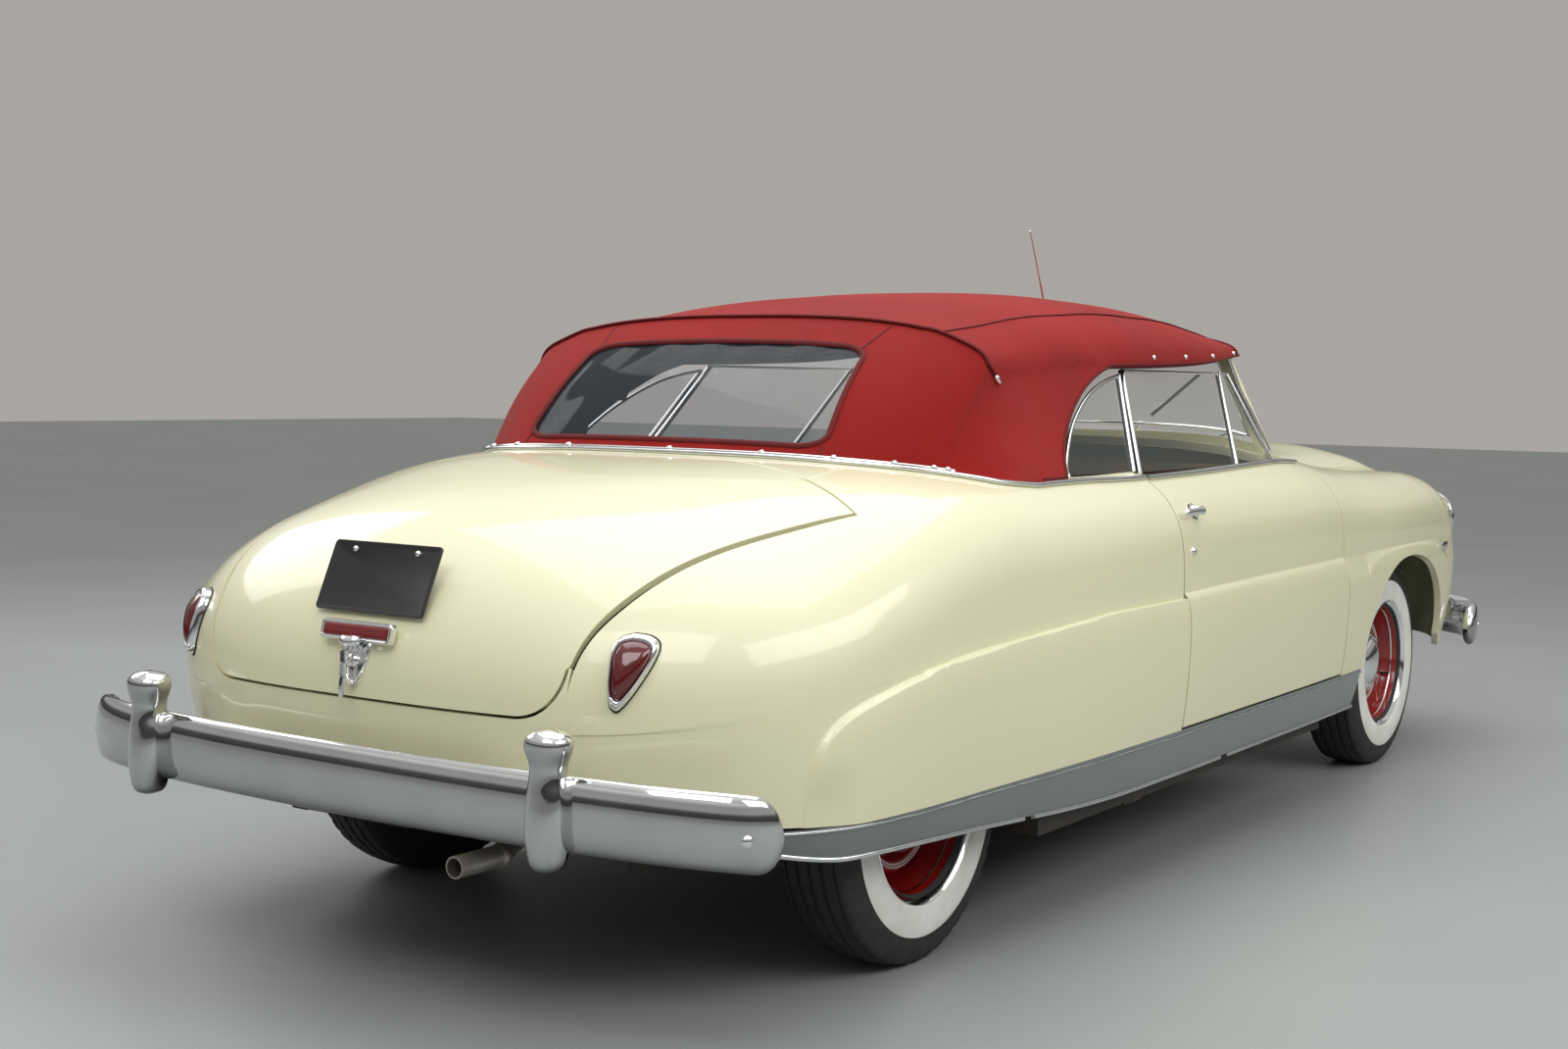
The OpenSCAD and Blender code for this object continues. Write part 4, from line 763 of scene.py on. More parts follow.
# ---- doors ----------------------------------------------------------------------------------------
def door_outer(y):
    w, p, h, zc = float(wide_up(y)), float(power(y)), float(rise(y)), float(crease_z(y))
    a0 = math.acos((float(belt_x(y)) / w) ** (p / 2))
    a1 = math.asin(((zc + 3 - float(zwide(y))) / h) ** (p / 2))
    a = np.linspace(a0, a1, 120)
    rows = arc_sample(np.stack([w * np.cos(a) ** (2 / p), np.full_like(a, y),
                                float(zwide(y)) + h * np.sin(a) ** (2 / p)], 1), 26)
    zl = mix(zc - 5, 410, np.array([0, 0.03, 0.1, 0.2, 0.32, 0.45, 0.58, 0.7, 0.82, 0.92, 1.0]))
    low = np.stack([low_x(y, zl), np.full_like(zl, y), zl], 1)
    near = rows[-2] + (rows[-1] - rows[-2]) * 0.85
    return np.vstack([rows[:-1], [near], [rows[-1]], [mix(rows[-1], low[0], t) for t in (0.14, 0.5, 0.86)],
                      low])


def door_inner(y, P, f):
    i = np.arange(len(P))
    x = np.minimum(np.minimum(P[:, 0] - 30, float(wide_up(y)) - 84),
                   P[0, 0] - mix(22, 44, float(ease(-620, -380, y))) + 40 * i / len(P))
    return np.stack([x, y - f * (P[:, 0] - x) * 0.24, P[:, 2]], 1)


dys = np.linspace(DOOR0, DOOR1, 50)
DO = np.array([door_outer(y) for y in dys])
DI = np.array([door_inner(y, DO[i], float(np.clip((y - 207) / 272, 0, 1))) for i, y in enumerate(dys)])
for side, sg in (("left", 1), ("right", -1)):
    O, I = (DO, DI) if sg > 0 else (flipx(DO), flipx(DI))
    v, f = slab(O, I)
    o = make("door_" + side + "_shell", v, f, PAINT, f"door_{side}_body", "body_paint", (f"door_{side}",),
             bevel=2.2, smooth=48)
    o.data.materials.append(TRIM_IN)
    for poly in o.data.polygons:
        c = poly.center
        if poly.normal.x * sg < -0.4 and c.z < 1.035:
            poly.material_index = 1


# ---- wheels and tyres -----------------------------------------------------------------------------
HUB_Z, TYRE_R, RIM_R = 347.0, 350.0, 205.0
FRONT_Y, REAR_Y = -1549.0, 1474.0
wheels = [("front_left", 743, FRONT_Y), ("front_right", -743, FRONT_Y), ("rear_left", 705, REAR_Y),
          ("rear_right", -705, REAR_Y)]
side = [[RIM_R - 14, 68], [RIM_R - 6, 78], [RIM_R + 1, 83], [RIM_R + 8, 87], [RIM_R + 22, 91],
        [RIM_R + 40, 92.5],
        [RIM_R + 60, 92], [RIM_R + 80, 90], [RIM_R + 98, 87], [RIM_R + 110, 84.5], [RIM_R + 122, 80.5],
        [RIM_R + 131, 76], [RIM_R + 137, 71]]
ribs = []
for c, w in ((-46, 24), (-15.5, 22), (15.5, 22), (46, 24)):
    ribs += [(c - w / 2 - 3.4, -7.5), (c - w / 2, 0), (c, 0.6), (c + w / 2, 0), (c + w / 2 + 3.4, -7.5)]
crown_drop = lambda x: 5.2 * (abs(x) / 62) ** 2
tread = [[TYRE_R - crown_drop(x) + d - 0.6, x] for x, d in ribs]
profile = ([[r, -x] for r, x in side] + [[343.4, -63.5]] + tread + [[343.4, 63.5]]
           + [[r, x] for r, x in side[::-1]])
profile = np.array([[r, x] for r, x in profile])
for name, x, y in wheels:
    body, sg = "road_wheel_" + name, 1 if x > 0 else -1
    n = 192
    v, f = lathe(profile, (x, y, HUB_Z), (sg, 0, 0), n)
    v = np.array(v).reshape(len(profile), n, 3)
    centre = np.array([x, y, HUB_Z])
    # blocks along the shoulders and fine cuts across the ribs
    for j in range(len(profile)):
        r, a = profile[j]
        deep = 5.0 if 66 < abs(a) < 82 and r > 325 else 2.4 if abs(a) < 60 and r > 340 else 0
        if deep:
            cut = (np.arange(n) + (2 if a > 0 else 0)) % 4 == 0
            d = v[j] - centre
            d[:, 0] = 0
            v[j, cut] -= deep * (d / np.linalg.norm(d, axis=1, keepdims=True))[cut]
    make("tyre_" + name + "_rubber", v.reshape(-1, 3), f, RUBBER, body, "tyre", ("tyre_" + name,), smooth=24)
    band = [[209.0, 84], [212, 88.6], [227, 92.6], [245, 93.6], [265, 93.1], [279, 91.9], [282.5, 90.2],
            [282.5, 87]]
    v, f = lathe(band, (x, y, HUB_Z), (sg, 0, 0), 128)
    make("whitewall_" + name, v, f, WHITEWALL, body, "tyre", smooth=50)
    disc = [[0, 16], [62, 16], [74, 8], [96, -2], [112, -8], [118, 4], [126, 14], [138, 17], [150, 12],
            [158, 0],
            [164, -14], [169, -20], [174, -8], [178, 14], [184, 30], [189, 46], [191, 64], [197, 75],
            [205, 82],
            [207, 80], [199, 72], [192, 62], [189, 40], [189, -62], [205, -82]]
    v, f = lathe(disc, (x, y, HUB_Z), (sg, 0, 0), 96)
    make("wheel_" + name + "_steel", v, f, RED_STEEL, body, "wheel_paint", ("wheel_" + name,), smooth=40)
    ring = [[187, 47], [189.5, 50], [191, 62], [196, 74], [204, 84], [211, 89.5], [214.5, 88.5], [212, 84],
            [205, 79]]
    v, f = lathe(ring, (x, y, HUB_Z), (sg, 0, 0), 96)
    make("rim_edge_" + name, v, f, CHROME, body, "chrome", smooth=40)
    stripes = [lathe([[r - 1.6, h], [r, h + 1.0], [r + 1.6, h]], (x, y, HUB_Z), (sg, 0, 0), 96)
               for r, h in ((133, 16.6), (141, 16.9))]
    v, f = merge(stripes)
    make("wheel_stripes_" + name, v, f, WHITEWALL, body, "wheel_paint", smooth=60)
    cap_ = [[105, 16], [106.5, 22], [103, 30], [96, 36], [84, 42], [78, 41], [74, 45], [56, 53], [34, 58],
            [14, 60.5],
            [0.01, 61]]
    v, f = lathe(cap_, (x, y, HUB_Z), (sg, 0, 0), 72)
    make("wheel_cap_" + name, v, f, CHROME, body, "chrome", smooth=40)
    nuts = []
    valve_at = centre + np.array([sg * 20, 0, 0])
    a = math.radians(200)
    p0 = valve_at + np.array([0, math.cos(a) * 166, math.sin(a) * 166])
    nuts.append(tube([p0, p0 + np.array([sg * 34, 0, 0])], 4, 8))
    v, f = merge(nuts)
    make("valve_" + name, v, f, SEAL, body, "tyre", smooth=60)

# ---- folding top ----------------------------------------------------------------------------------
def roof_z(y):
    return curve([[-600, 1442], [-400, 1488], [-150, 1522], [100, 1534], [400, 1526], [700, 1496],
                  [1060, 1437]], y)


def rail_x(y):
    return curve([[-600, 650], [-300, 682], [100, 700], [600, 702], [1060, 698]], y)


def rail_z(y):
    return curve([[-600, 1374], [-300, 1346], [100, 1330], [600, 1318], [1060, 1286]], y)


def hem_z(y):
    low = float(top_z(806, y)) + 3
    if y < 400:
        return float(rail_z(y))
    return mix(low, float(rail_z(y)), max(0, 1 - min(1, max(0, (y - 400) / 460)) ** 1.5) ** (1 / 1.5))


def roof_pt(y, t):
    u, zr, rx = abs(t), float(rail_z(y)), float(rail_x(y))
    hz = hem_z(y)
    e = u * (1 + 0.62 * (zr - hz) / 250)
    if e <= 1:
        a = math.pi / 2 * e
        return [math.copysign(rx * max(0, math.sin(a)) ** (2 / 2.6), t) if t else 0, y,
                zr + (float(roof_z(y)) - zr) * max(0, math.cos(a)) ** (2 / 2.6)]
    z = mix(zr, zr - 250, (e - 1) / 0.62)
    f = (zr - z) / 250
    return [math.copysign(rx + 250 * (0.30 * f + 0.14 * f * f), t), y, z]


def base_pt(t):
    x = roof_pt(1060, t)[0] * 0.992
    y = 1438 - 345 * (abs(x) / 806) ** 4.6
    return [x, y, float(top_z(x, y)) + 2]


def top_pt(t, v):
    if v <= 1:
        return np.array(roof_pt(mix(-590, 1060, v), t))
    a, b, f = np.array(roof_pt(1060, t)), np.array(base_pt(t)), v - 1
    return a + (b - a) * f + np.array([0, 26, 18]) * math.sin(math.pi * f) * (1 - abs(t) * 0.8)


vs_ = np.r_[np.linspace(0, 0.6, 30), np.linspace(0.61, 0.88, 34), np.linspace(0.89, 1, 10),
            np.linspace(1.01, 2, 64)]
ts_ = np.array([math.copysign(abs(j) ** 0.9, j) for j in np.linspace(-1, 1, 141)])
TOP = np.array([[top_pt(t, v) for t in ts_] for v in vs_])
# the cloth turns the rear corners in one soft bend
turn = (ease(0.58, 0.72, np.abs(ts_))[None, :] * ((vs_ > 0.935) & (vs_ < 1.6))[:, None])[..., None]
for _ in range(90):
    step_ = np.zeros_like(TOP)
    step_[1:-1] = (TOP[2:] + TOP[:-2]) / 2 - TOP[1:-1]
    TOP = TOP + step_ * turn * 0.9
hem_gap = top_z(TOP[:, [0, -1], 0], TOP[:, [0, -1], 1]) + 3 - TOP[:, [0, -1], 2]
tail_rows_ = ((vs_ > 0.9) & (vs_ < 2))[:, None]
TOP[..., 2] += (tail_rows_ * np.where(ts_[None] < 0, hem_gap[:, :1], hem_gap[:, 1:])
                * ease(0.6, 1, np.abs(ts_))[None])
TN = grid_normals(TOP)
# the cloth dips a little between the bows and is pulled at the snaps and seams
VV, TT = np.meshgrid(vs_, ts_, indexing="ij")
bows = np.array([0.0, 0.27, 0.52, 0.78, 1.0])
near = np.abs(VV[..., None] - bows).min(-1)
sag = -2.6 * ease(0.02, 0.13, near) * (VV < 1) * (1 - np.abs(TT) ** 6)
wave = 1.5 * np.sin(VV * 46 + np.abs(TT) * 9) * np.exp(-((np.abs(TT) - 0.9) / 0.12) ** 2) * (VV < 0.75)
folds = 2.0 * np.sin(TT * 31 + VV * 5) * np.exp(-((VV - 1.05) / 0.12) ** 2) * (np.abs(TT) > 0.3)
TOP = TOP + TN * (sag + wave + folds)[..., None]
# clear rear window: a rounded opening in the rear curtain, stated as half width and heights
F_TOP, F_BOT, HW_TOP, HW_BOT = 0.225, 0.925, 420.0, 452.0


def window_d(x, f):
    """Below 0 inside the window's outline."""
    g = (f - F_TOP) / (F_BOT - F_TOP)
    hw = mix(HW_TOP, HW_BOT, g)
    X = np.abs(x) / hw
    rx, rg = 0.17, 0.26
    dx, dg = (X - (1 - rx)) / rx, (np.abs(2 * g - 1) / 1 - (1 - 2 * rg * 0.5)) / (rg)
    return np.where((dx > 0) & (dg > 0), np.hypot(dx, dg), np.maximum(np.maximum(dx, dg), -9)) - 1


f_ = VV - 1
inside = (VV > 1) & (window_d(TOP[..., 0], f_) < 0)


def surface_at(x, f):
    """A point of the rear curtain from its x and its share of the drop."""
    row = np.interp(1 + f, vs_, np.arange(len(vs_)))
    i = int(min(len(vs_) - 2, row))
    g = row - i
    R = TOP[i] * (1 - g) + TOP[i + 1] * g
    return np.array([x, np.interp(x, R[:, 0], R[:, 1]), np.interp(x, R[:, 0], R[:, 2])])


ang = np.linspace(0, 2 * math.pi, 180, endpoint=False)
outline = []
for a in ang:
    c, s = math.cos(a), math.sin(a)
    lo, hi = 0.0, 1.0
    for _ in range(26):
        m_ = (lo + hi) / 2
        g = 0.5 + s * m_ * 0.75
        x = c * m_ * 700
        ok = window_d(x, F_TOP + g * (F_BOT - F_TOP)) < 0 and 0 < g < 1
        lo, hi = (m_, hi) if ok else (lo, m_)
    outline.append((c * lo * 700, F_TOP + (0.5 + s * lo * 0.75) * (F_BOT - F_TOP)))
outline = np.array(outline)
m, n = TOP.shape[:2]
gone = inside[:-1, :-1] & inside[1:, :-1] & inside[:-1, 1:] & inside[1:, 1:]
verts = TOP.reshape(-1, 3).copy()
faces, edge_ids = [], set()
for i in range(m - 1):
    for j in range(n - 1):
        ids = (i * n + j, i * n + j + 1, (i + 1) * n + j + 1, (i + 1) * n + j)
        if not gone[i, j]:
            faces.append(ids)
        else:
            edge_ids.update(ids)
kept = {k for q in faces for k in q}
for k in edge_ids & kept:
    x, f = verts[k, 0], VV.reshape(-1)[k] - 1
    q = outline[np.argmin(((outline[:, 0] - x) / 450) ** 2 + ((outline[:, 1] - f) / 0.35) ** 2)]
    verts[k] = surface_at(*q)
used = sorted(kept)
back = {k: i for i, k in enumerate(used)}
canvas = make("canvas_top", verts[used], [tuple(back[k] for k in q) for q in faces], CANVAS, "shell",
              "canvas",
              ("convertible_top",), smooth=70)
thick = canvas.modifiers.new("cloth", "SOLIDIFY")
thick.thickness, thick.offset = 0.0028, -1 if TN[20, 70, 2] > 0 else 1
# lining below it
low = TOP - TN * 12
keep_l = [q for q in faces]
v, f = low.reshape(-1, 3).copy(), keep_l
for k in edge_ids & kept:
    v[k] = verts[k] - TN.reshape(-1, 3)[k] * 12
make("top_lining", v[used], [tuple(back[k] for k in q) for q in faces], CANVAS_IN, "shell", "canvas",
     smooth=70)
rim = np.array([surface_at(x, f) for x, f in outline])
N_R = np.array([0, 0.85, 0.53])
v, f = tube(rim + N_R * 1.5, 7.5, 8, closed=True, squash=(1, 0.45), up_hint=N_R)
make("window_binding", v, f, WELT, "shell", "canvas", smooth=70)
v, f = tube(rim + N_R * 3.2, 2.2, 6, closed=True, squash=(1, 0.8), up_hint=N_R)
make("window_bead", v, f, SEAL, "shell", "canvas", smooth=70)
# clear vinyl, as one patch a little below the cloth
gx, gf = np.linspace(-1, 1, 40), np.linspace(F_TOP - 0.02, F_BOT + 0.02, 22)
V = np.array([[surface_at(x * (mix(HW_TOP, HW_BOT, (f - F_TOP) / (F_BOT - F_TOP)) + 8),
                          f) for x in gx] for f in gf])
V -= N_R * 4
V += N_R * (2.0 * np.sin(V[..., 0] / 58) * np.sin(V[..., 2] / 70) + 1.2
            * np.sin(V[..., 0] / 23 + V[..., 2] / 31))[..., None]
make("rear_window_vinyl", V.reshape(-1, 3), quads(*V.shape[:2]), VINYL, "shell", "clear_vinyl",
     ("rear_window",),
     smooth=70)


def top_line(t_of, v_of, k=60, lift=1.5):
    out = []
    for s in np.linspace(0, 1, k):
        t, v = t_of(s), v_of(s)
        i, j = np.interp(v, vs_, np.arange(m)), np.interp(t, ts_, np.arange(n))
        i0, j0 = int(min(m - 2, i)), int(min(n - 2, j))
        a, b = i - i0, j - j0
        P = lambda G: ((G[i0, j0] * (1 - a) + G[i0 + 1, j0] * a) * (1 - b)
                       + (G[i0, j0 + 1] * (1 - a) + G[i0 + 1, j0 + 1] * a) * b)
        q = P(TOP) + P(TN) * lift
        out.append(q)
    return np.array(out)


def at_turn(v, e):
    """The t of a line that keeps its place between the middle and the rail."""
    y = mix(-590, 1060, v)
    return e / (1 + 0.62 * (float(rail_z(y)) - hem_z(y)) / 250)


seams = [tube(top_line(lambda s: mix(-0.622, 0.622, s), lambda s: 1.0, 110, 3), 7, 8, squash=(1, 0.62))]
for sg in (1, -1):
    seams.append(tube(top_line(lambda s: sg * at_turn(mix(0.01, 0.985, s), mix(0.62, 0.54, s)),
                               lambda s: mix(0.01, 0.985, s), 70), 4.0, 6, squash=(1.2, 0.5)))
seams += [
         tube(top_line(lambda s: mix(-0.99, 0.99, s), lambda s: 0.012, 70, 1), 7, 8, squash=(1, 0.6))]
for sg in (1, -1):
    # hem along the side opening, and seams of the rear quarter
    seams.append(tube(top_line(lambda s: sg * 0.992, lambda s: mix(0.0, 0.97, s), 100, 0.5), 5, 8,
                      squash=(1, 0.8)))
    for (x_a, f_a), (x_b, f_b) in (((430, 0.02), (400, F_TOP + 0.03)), ((440, F_BOT - 0.03), (452, 0.985))):
        P = np.array([surface_at(sg * mix(x_a, x_b, k), mix(f_a, f_b, k)) for k in np.linspace(0, 1, 8)])
        seams.append(tube(P + N_R * 0.8, 2.6, 6, squash=(1.3, 0.5)))
v, f = merge(seams)
make("top_seams", v, f, WELT, "shell", "canvas", smooth=70)
tips = []
for sg in (1, -1):
    p = top_line(lambda s: sg * 0.625, lambda s: 1.0, 2, 4)[0]
    q = top_line(lambda s: sg * 0.60, lambda s: 1.0, 2, 4)[0]
    d = (p - q) / np.linalg.norm(p - q)
    tips.append(tube([p - d * 16, p - d * 10, p + d * 4, p + d * 10, p + d * 14], [5, 9, 9, 6, 1], 10,
                     squash=(1, 0.7)))
# snaps along the side hems
for sg in (1, -1):
    for v0 in (0.03, 0.16, 0.30, 0.44):
        p = top_line(lambda s: sg * 0.955, lambda s: v0, 2, 2)[0]
        nn = np.array([sg * 0.95, 0, 0.3])
        tips.append(lathe([[7, -1], [6.5, 2], [4, 4], [0.01, 4.6]], p, nn, 12, start=(0, 1, 0)))
v, f = merge(tips)
make("top_tips_and_snaps", v, f, CHROME, "shell", "chrome", smooth=60)

# bright bead round the foot of the top, with its domed fasteners
foot = [base_pt(t) for t in np.linspace(-0.97, 0.97, 90)]
side_foot = []
for y in np.linspace(884, 1060, 8):
    p = roof_pt(y, 1.0)
    side_foot.append(p)
left = [[mix(float(belt_x(y)), p[0] + 10, float(ease(486, 980, y))), y, 0] for y, p in
        [(y, roof_pt(max(y, 884), 1.0)) for y in np.linspace(486, 1040, 34)]]
loop = ([[-p[0], p[1], 0] for p in left] + [[p[0] * 1.012, p[1] + 11 - 6 * (abs(p[0]) / 800) ** 6,
                                             0] for p in foot]
        + left[::-1])
loop = np.array(loop, float)
loop = smooth_path(loop[::3], 260)
loop[:, 2] = top_z(loop[:, 0], loop[:, 1]) + 4.5
v, f = tube(loop, 9, 10, squash=(1.15, 0.72))
make("belt_bead", v, f, STEEL, "shell", "chrome", smooth=60)
foot2 = np.array([[p[0] * 1.004, p[1] + 3, 0] for p in foot if abs(p[0]) < 715])
foot2[:, 2] = top_z(foot2[:, 0], foot2[:, 1]) + 10
v, f = tube(foot2, 5.5, 8, squash=(1, 0.8))
make("foot_channel", v, f, CHROME, "shell", "chrome", smooth=60)
domes = []
for k in np.linspace(2, len(foot2) - 3, 11).astype(int):
    domes.append(lathe([[8.5, -3], [8, 2.5], [5, 5.5], [0.01, 6.5]], foot2[k] + np.array([0, 2, 2]),
                       (0, 0.5, 1), 12,
                       start=(1, 0, 0)))
v, f = merge(domes)
make("foot_fasteners", v, f, CHROME, "shell", "chrome", smooth=60)

# bows and side irons under the cloth
irons = []
for vb in (0.27, 0.52, 0.78, 0.985):
    P = top_line(lambda s: mix(-0.98, 0.98, s), lambda s: vb, 50, -26)
    irons.append(tube(P, 11, 8, squash=(1.5, 0.8)))
for sg in (1, -1):
    P = np.array([[sg * (float(rail_x(y)) - 22), y, float(rail_z(y)) + 8]
                  for y in np.linspace(-560, 800, 24)])
    irons.append(tube(P, 12, 8))
    irons.append(tube(smooth_path([[sg * 676, 780, 1310], [sg * 700, 860, 1180], [sg * 705, 900, 1010]],
                                  14), 13, 8))
    irons.append(tube(smooth_path([[sg * 640, 1045, 1270], [sg * 668, 1010, 1130], [sg * 680, 930, 1000]],
                                  14), 11, 8))
v, f = merge(irons)
make("top_bows", v, f, UNDER, "shell", "chassis_black", smooth=60)

# ---- side glass frames and belt mouldings -----------------------------------------------------------
def glass_x(y, z):
    return 818 - 0.045 * max(0, 470 - y) - 0.03 * max(0, y - 470) - (z - 1041) * 0.462


def on_glass(sg, pts, out=0):
    return [[sg * (glass_x(y, z) - 2 + out), y, z] for y, z in pts]


paint_nodes(["door_glass_left", "door_glass_right", "quarter_glass", "windshield_glass"], GLASS)
for side_, sg in (("left", 1), ("right", -1)):
    body = f"door_{side_}_body"
    bars = [tube(on_glass(sg, [(-287, 1052), (-444, 1318)]), 7.5, 8, squash=(1, 1.2), up_hint=(sg, 0, 0.4)),
            tube(on_glass(sg, [(-603, 1056), (-560, 1180), (-517, 1316)]), 7, 8),
            tube(on_glass(sg, [(-517, 1316), (-444, 1318)]), 5, 8),
            tube(on_glass(sg, [(-444, 1317), (302, 1317)]), 4, 8),
            tube(on_glass(sg, [(456, 1052), (304, 1317)]), 7, 8, squash=(1, 1.3), up_hint=(sg, 0, 0.4))]
    v, f = merge(bars)
    make("door_window_frame_" + side_, v, f, CHROME, body, "chrome", smooth=60)
    ys = np.linspace(-742, 474, 60)
    P = np.stack([sg * (belt_x(ys) + 4), ys, top_z(belt_x(ys) + 4, ys) + 4.5], 1)
    v, f = tube(P, 9, 10, squash=(1.15, 0.72))
    make("door_belt_moulding_" + side_, v, f, STEEL, body, "chrome", smooth=60)
    P = np.stack([sg * (belt_x(ys) - 8), ys, top_z(belt_x(ys), ys) + 3], 1)
    v, f = tube(P, 5, 8, squash=(0.7, 1.2))
    make("door_glass_seal_" + side_, v, f, SEAL, body, "chrome", smooth=60)
    # mirror-free quarter frame
    q = [(488, 1056), (340, 1303)]
    arcq = [(340, 1303), (430, 1290), (530, 1266), (636, 1222), (738, 1162), (832, 1078), (838, 1054)]
    v, f = merge([tube(on_glass(sg, q), 6.5, 8, squash=(1, 1.3), up_hint=(sg, 0, 0.4)),
                  tube(on_glass(sg, [tuple(p[1:]) for p in smooth_path([(0, a, b) for a, b in arcq], 40)]),
                       5, 8)])
    make("quarter_window_frame_" + side_, v, f, CHROME, "shell", "chrome", smooth=60)

# ---- windshield -----------------------------------------------------------------------------------
def roof_at(x, y):
    return float(rail_z(y)) + float(roof_z(y) - rail_z(y)) * max(0,
        1 - min(1, abs(x) / float(rail_x(y))) ** 2.6) ** (1 / 2.6)


def ws_pt(u, v):
    x = u * mix(730, 622, v)
    y = mix(-650, -552, v) - 62 * (1 - abs(u)) * mix(1, 0.8, v)
    return np.array([x, y, mix(float(top_z(x, y)) + 14, roof_at(x, y) - 28, v)])


paint_nodes(["windshield_frame"], PAINT)
bars = []
for sg in (1, -1):
    for off in (-16, 14):
        loop_ = ([ws_pt(sg * u, 0.125) for u in np.linspace(0.03, 0.95, 12)]
                 + [ws_pt(sg * u, 0.875) for u in np.linspace(0.95, 0.03, 12)])
        loop_ = np.array(loop_) + np.array([0, off, 0])
        bars.append(tube(loop_, 4.5, 6, closed=True))
    bars.append(tube(np.array([ws_pt(sg * 1.0, k) for k in np.linspace(0, 1, 10)])
                     + np.array([sg * 9, 9, 0]), 7, 8))
v, f = merge(bars)
make("windshield_bright_trim", v, f, CHROME, "shell", "chrome", smooth=60)
arms = []
for sg in (1, -1):
    x0 = sg * 250
    p0 = np.array([x0, -722, float(top_z(x0, -722)) + 4])
    p1 = np.array([x0 + sg * 40, -700, p0[2] + 60])
    p2 = np.array([x0 + sg * 170, -688, p0[2] + 150])
    arms.append(tube([p0, p1, p2], [8, 4, 3], 8))
    arms.append(tube([p2 + [-sg * 90, 0, -75], p2 + [sg * 70, 2, 58]], 4, 6, squash=(0.6, 1.6)))
mirror = loft([np.array([[-80, 0, 0]]) + np.array([[0, -14 * math.sin(a) * k, 24 * math.cos(a) * k]
                                                   for a in np.linspace(0, 2 * math.pi, 16, endpoint=False)])
               + np.array([[w, -520, 1330]]) for w, k in ((0, 0.7), (8, 1), (152, 1), (160, 0.7))])
arms.append(mirror)
arms.append(tube([[0, -580, 1390], [0, -535, 1350]], 5, 8))
v, f = merge(arms)
make("wipers_and_mirror", v, f, CHROME, "shell", "chrome", smooth=50)

# ---- rocker trims -----------------------------------------------------------------------------------
ys = np.linspace(-952, 2214, 150)


def rock_low(y):
    return 284 + 48 * ease(700, 1900, y) + 62 * ease(1900, 2300, y)


ks = np.linspace(0, 1, 12)
RT = np.array([[[min(float(low_x(y, z)), float(low_x(y, 404))) - 10 * k * k - 0.5, y, z] for k, z in
                zip(ks, mix(403.5, float(rock_low(y)), ks))] for y in ys])
for side_, G in (("left", RT), ("right", flipx(RT))):
    sg = 1 if side_ == "left" else -1
    v, f = slab(G, G - np.array([sg * 24, 0, 0]))
    make("rocker_" + side_, v, f, GREY, "shell", "rocker_grey", ("rocker_trims",) if sg > 0 else (),
         bevel=1.5,
         smooth=40)
    P = G[:, -1] + np.array([sg * 1.0, 0, -1.5])
    Pt = G[:, 1] + np.array([sg * 2.0, 0, 0])
    cuts = [k for k in (0, 52, 104, 149)]
    lips = [tube(P[a:b - 1] if b < 149 else P[a:b + 1], 6, 8, squash=(1, 1.0)) for a,
            b in zip(cuts, cuts[1:])]
    v, f = merge(lips + [tube(Pt, 2.4, 6)])
    make("rocker_lip_" + side_, v, f, STEEL, "shell", "chrome", smooth=60)

# ---- bumpers ----------------------------------------------------------------------------------------


def plan_pt(a, hw, y0, ym, q):
    return np.array([hw * math.copysign(abs(math.sin(a)) ** (2 / q), a) if a else 0.0,
                     y0 + (ym - y0) * max(0, math.cos(a)) ** (2 / q)])


def blade(hw, y0, ym, q, z0, h, d):
    a = np.radians(np.linspace(-90, 90, 181))
    C = arc_sample(np.array([plan_pt(t, hw, y0, ym, q) for t in a]), 150)
    T = np.gradient(C, axis=0)
    T /= np.linalg.norm(T, axis=1, keepdims=True)
    Nn = np.stack([T[:, 1], -T[:, 0]], 1)
    s = np.r_[0, np.cumsum(np.linalg.norm(np.diff(C, axis=0), axis=1))]
    end = np.minimum(s, s[-1] - s)
    k = np.clip(end / 60, 0, 1)
    size = np.sqrt(np.clip(1 - (1 - k) ** 2, 0.0025, 1))
    ang_ = np.radians(np.arange(0, 360, 12))
    sec = np.stack([np.sign(np.cos(ang_)) * np.abs(np.cos(ang_)) ** 0.85 * d / 2,
                    np.sign(np.sin(ang_)) * np.abs(np.sin(ang_)) ** 0.9 * h / 2], 1)
    aa = np.abs(np.arctan2(C[:, 0] / hw, np.clip((C[:, 1] - y0) / (ym - y0), 0, None)))
    drop = 34 * (aa / (math.pi / 2)) ** 3
    if (C[75, 1] - y0) * Nn[75, 1] < 0:
        Nn = -Nn
    R = np.stack([C[:, None, 0] + Nn[:, None, 0] * sec[None, :, 0] * (0.55 + 0.45 * size[:, None]),
                  C[:, None, 1] + Nn[:, None, 1] * sec[None, :, 0] * (0.55 + 0.45 * size[:, None]),
                  z0 + sec[None, :, 1] * size[:, None] - drop[:, None]], 2)
    return loft(R)


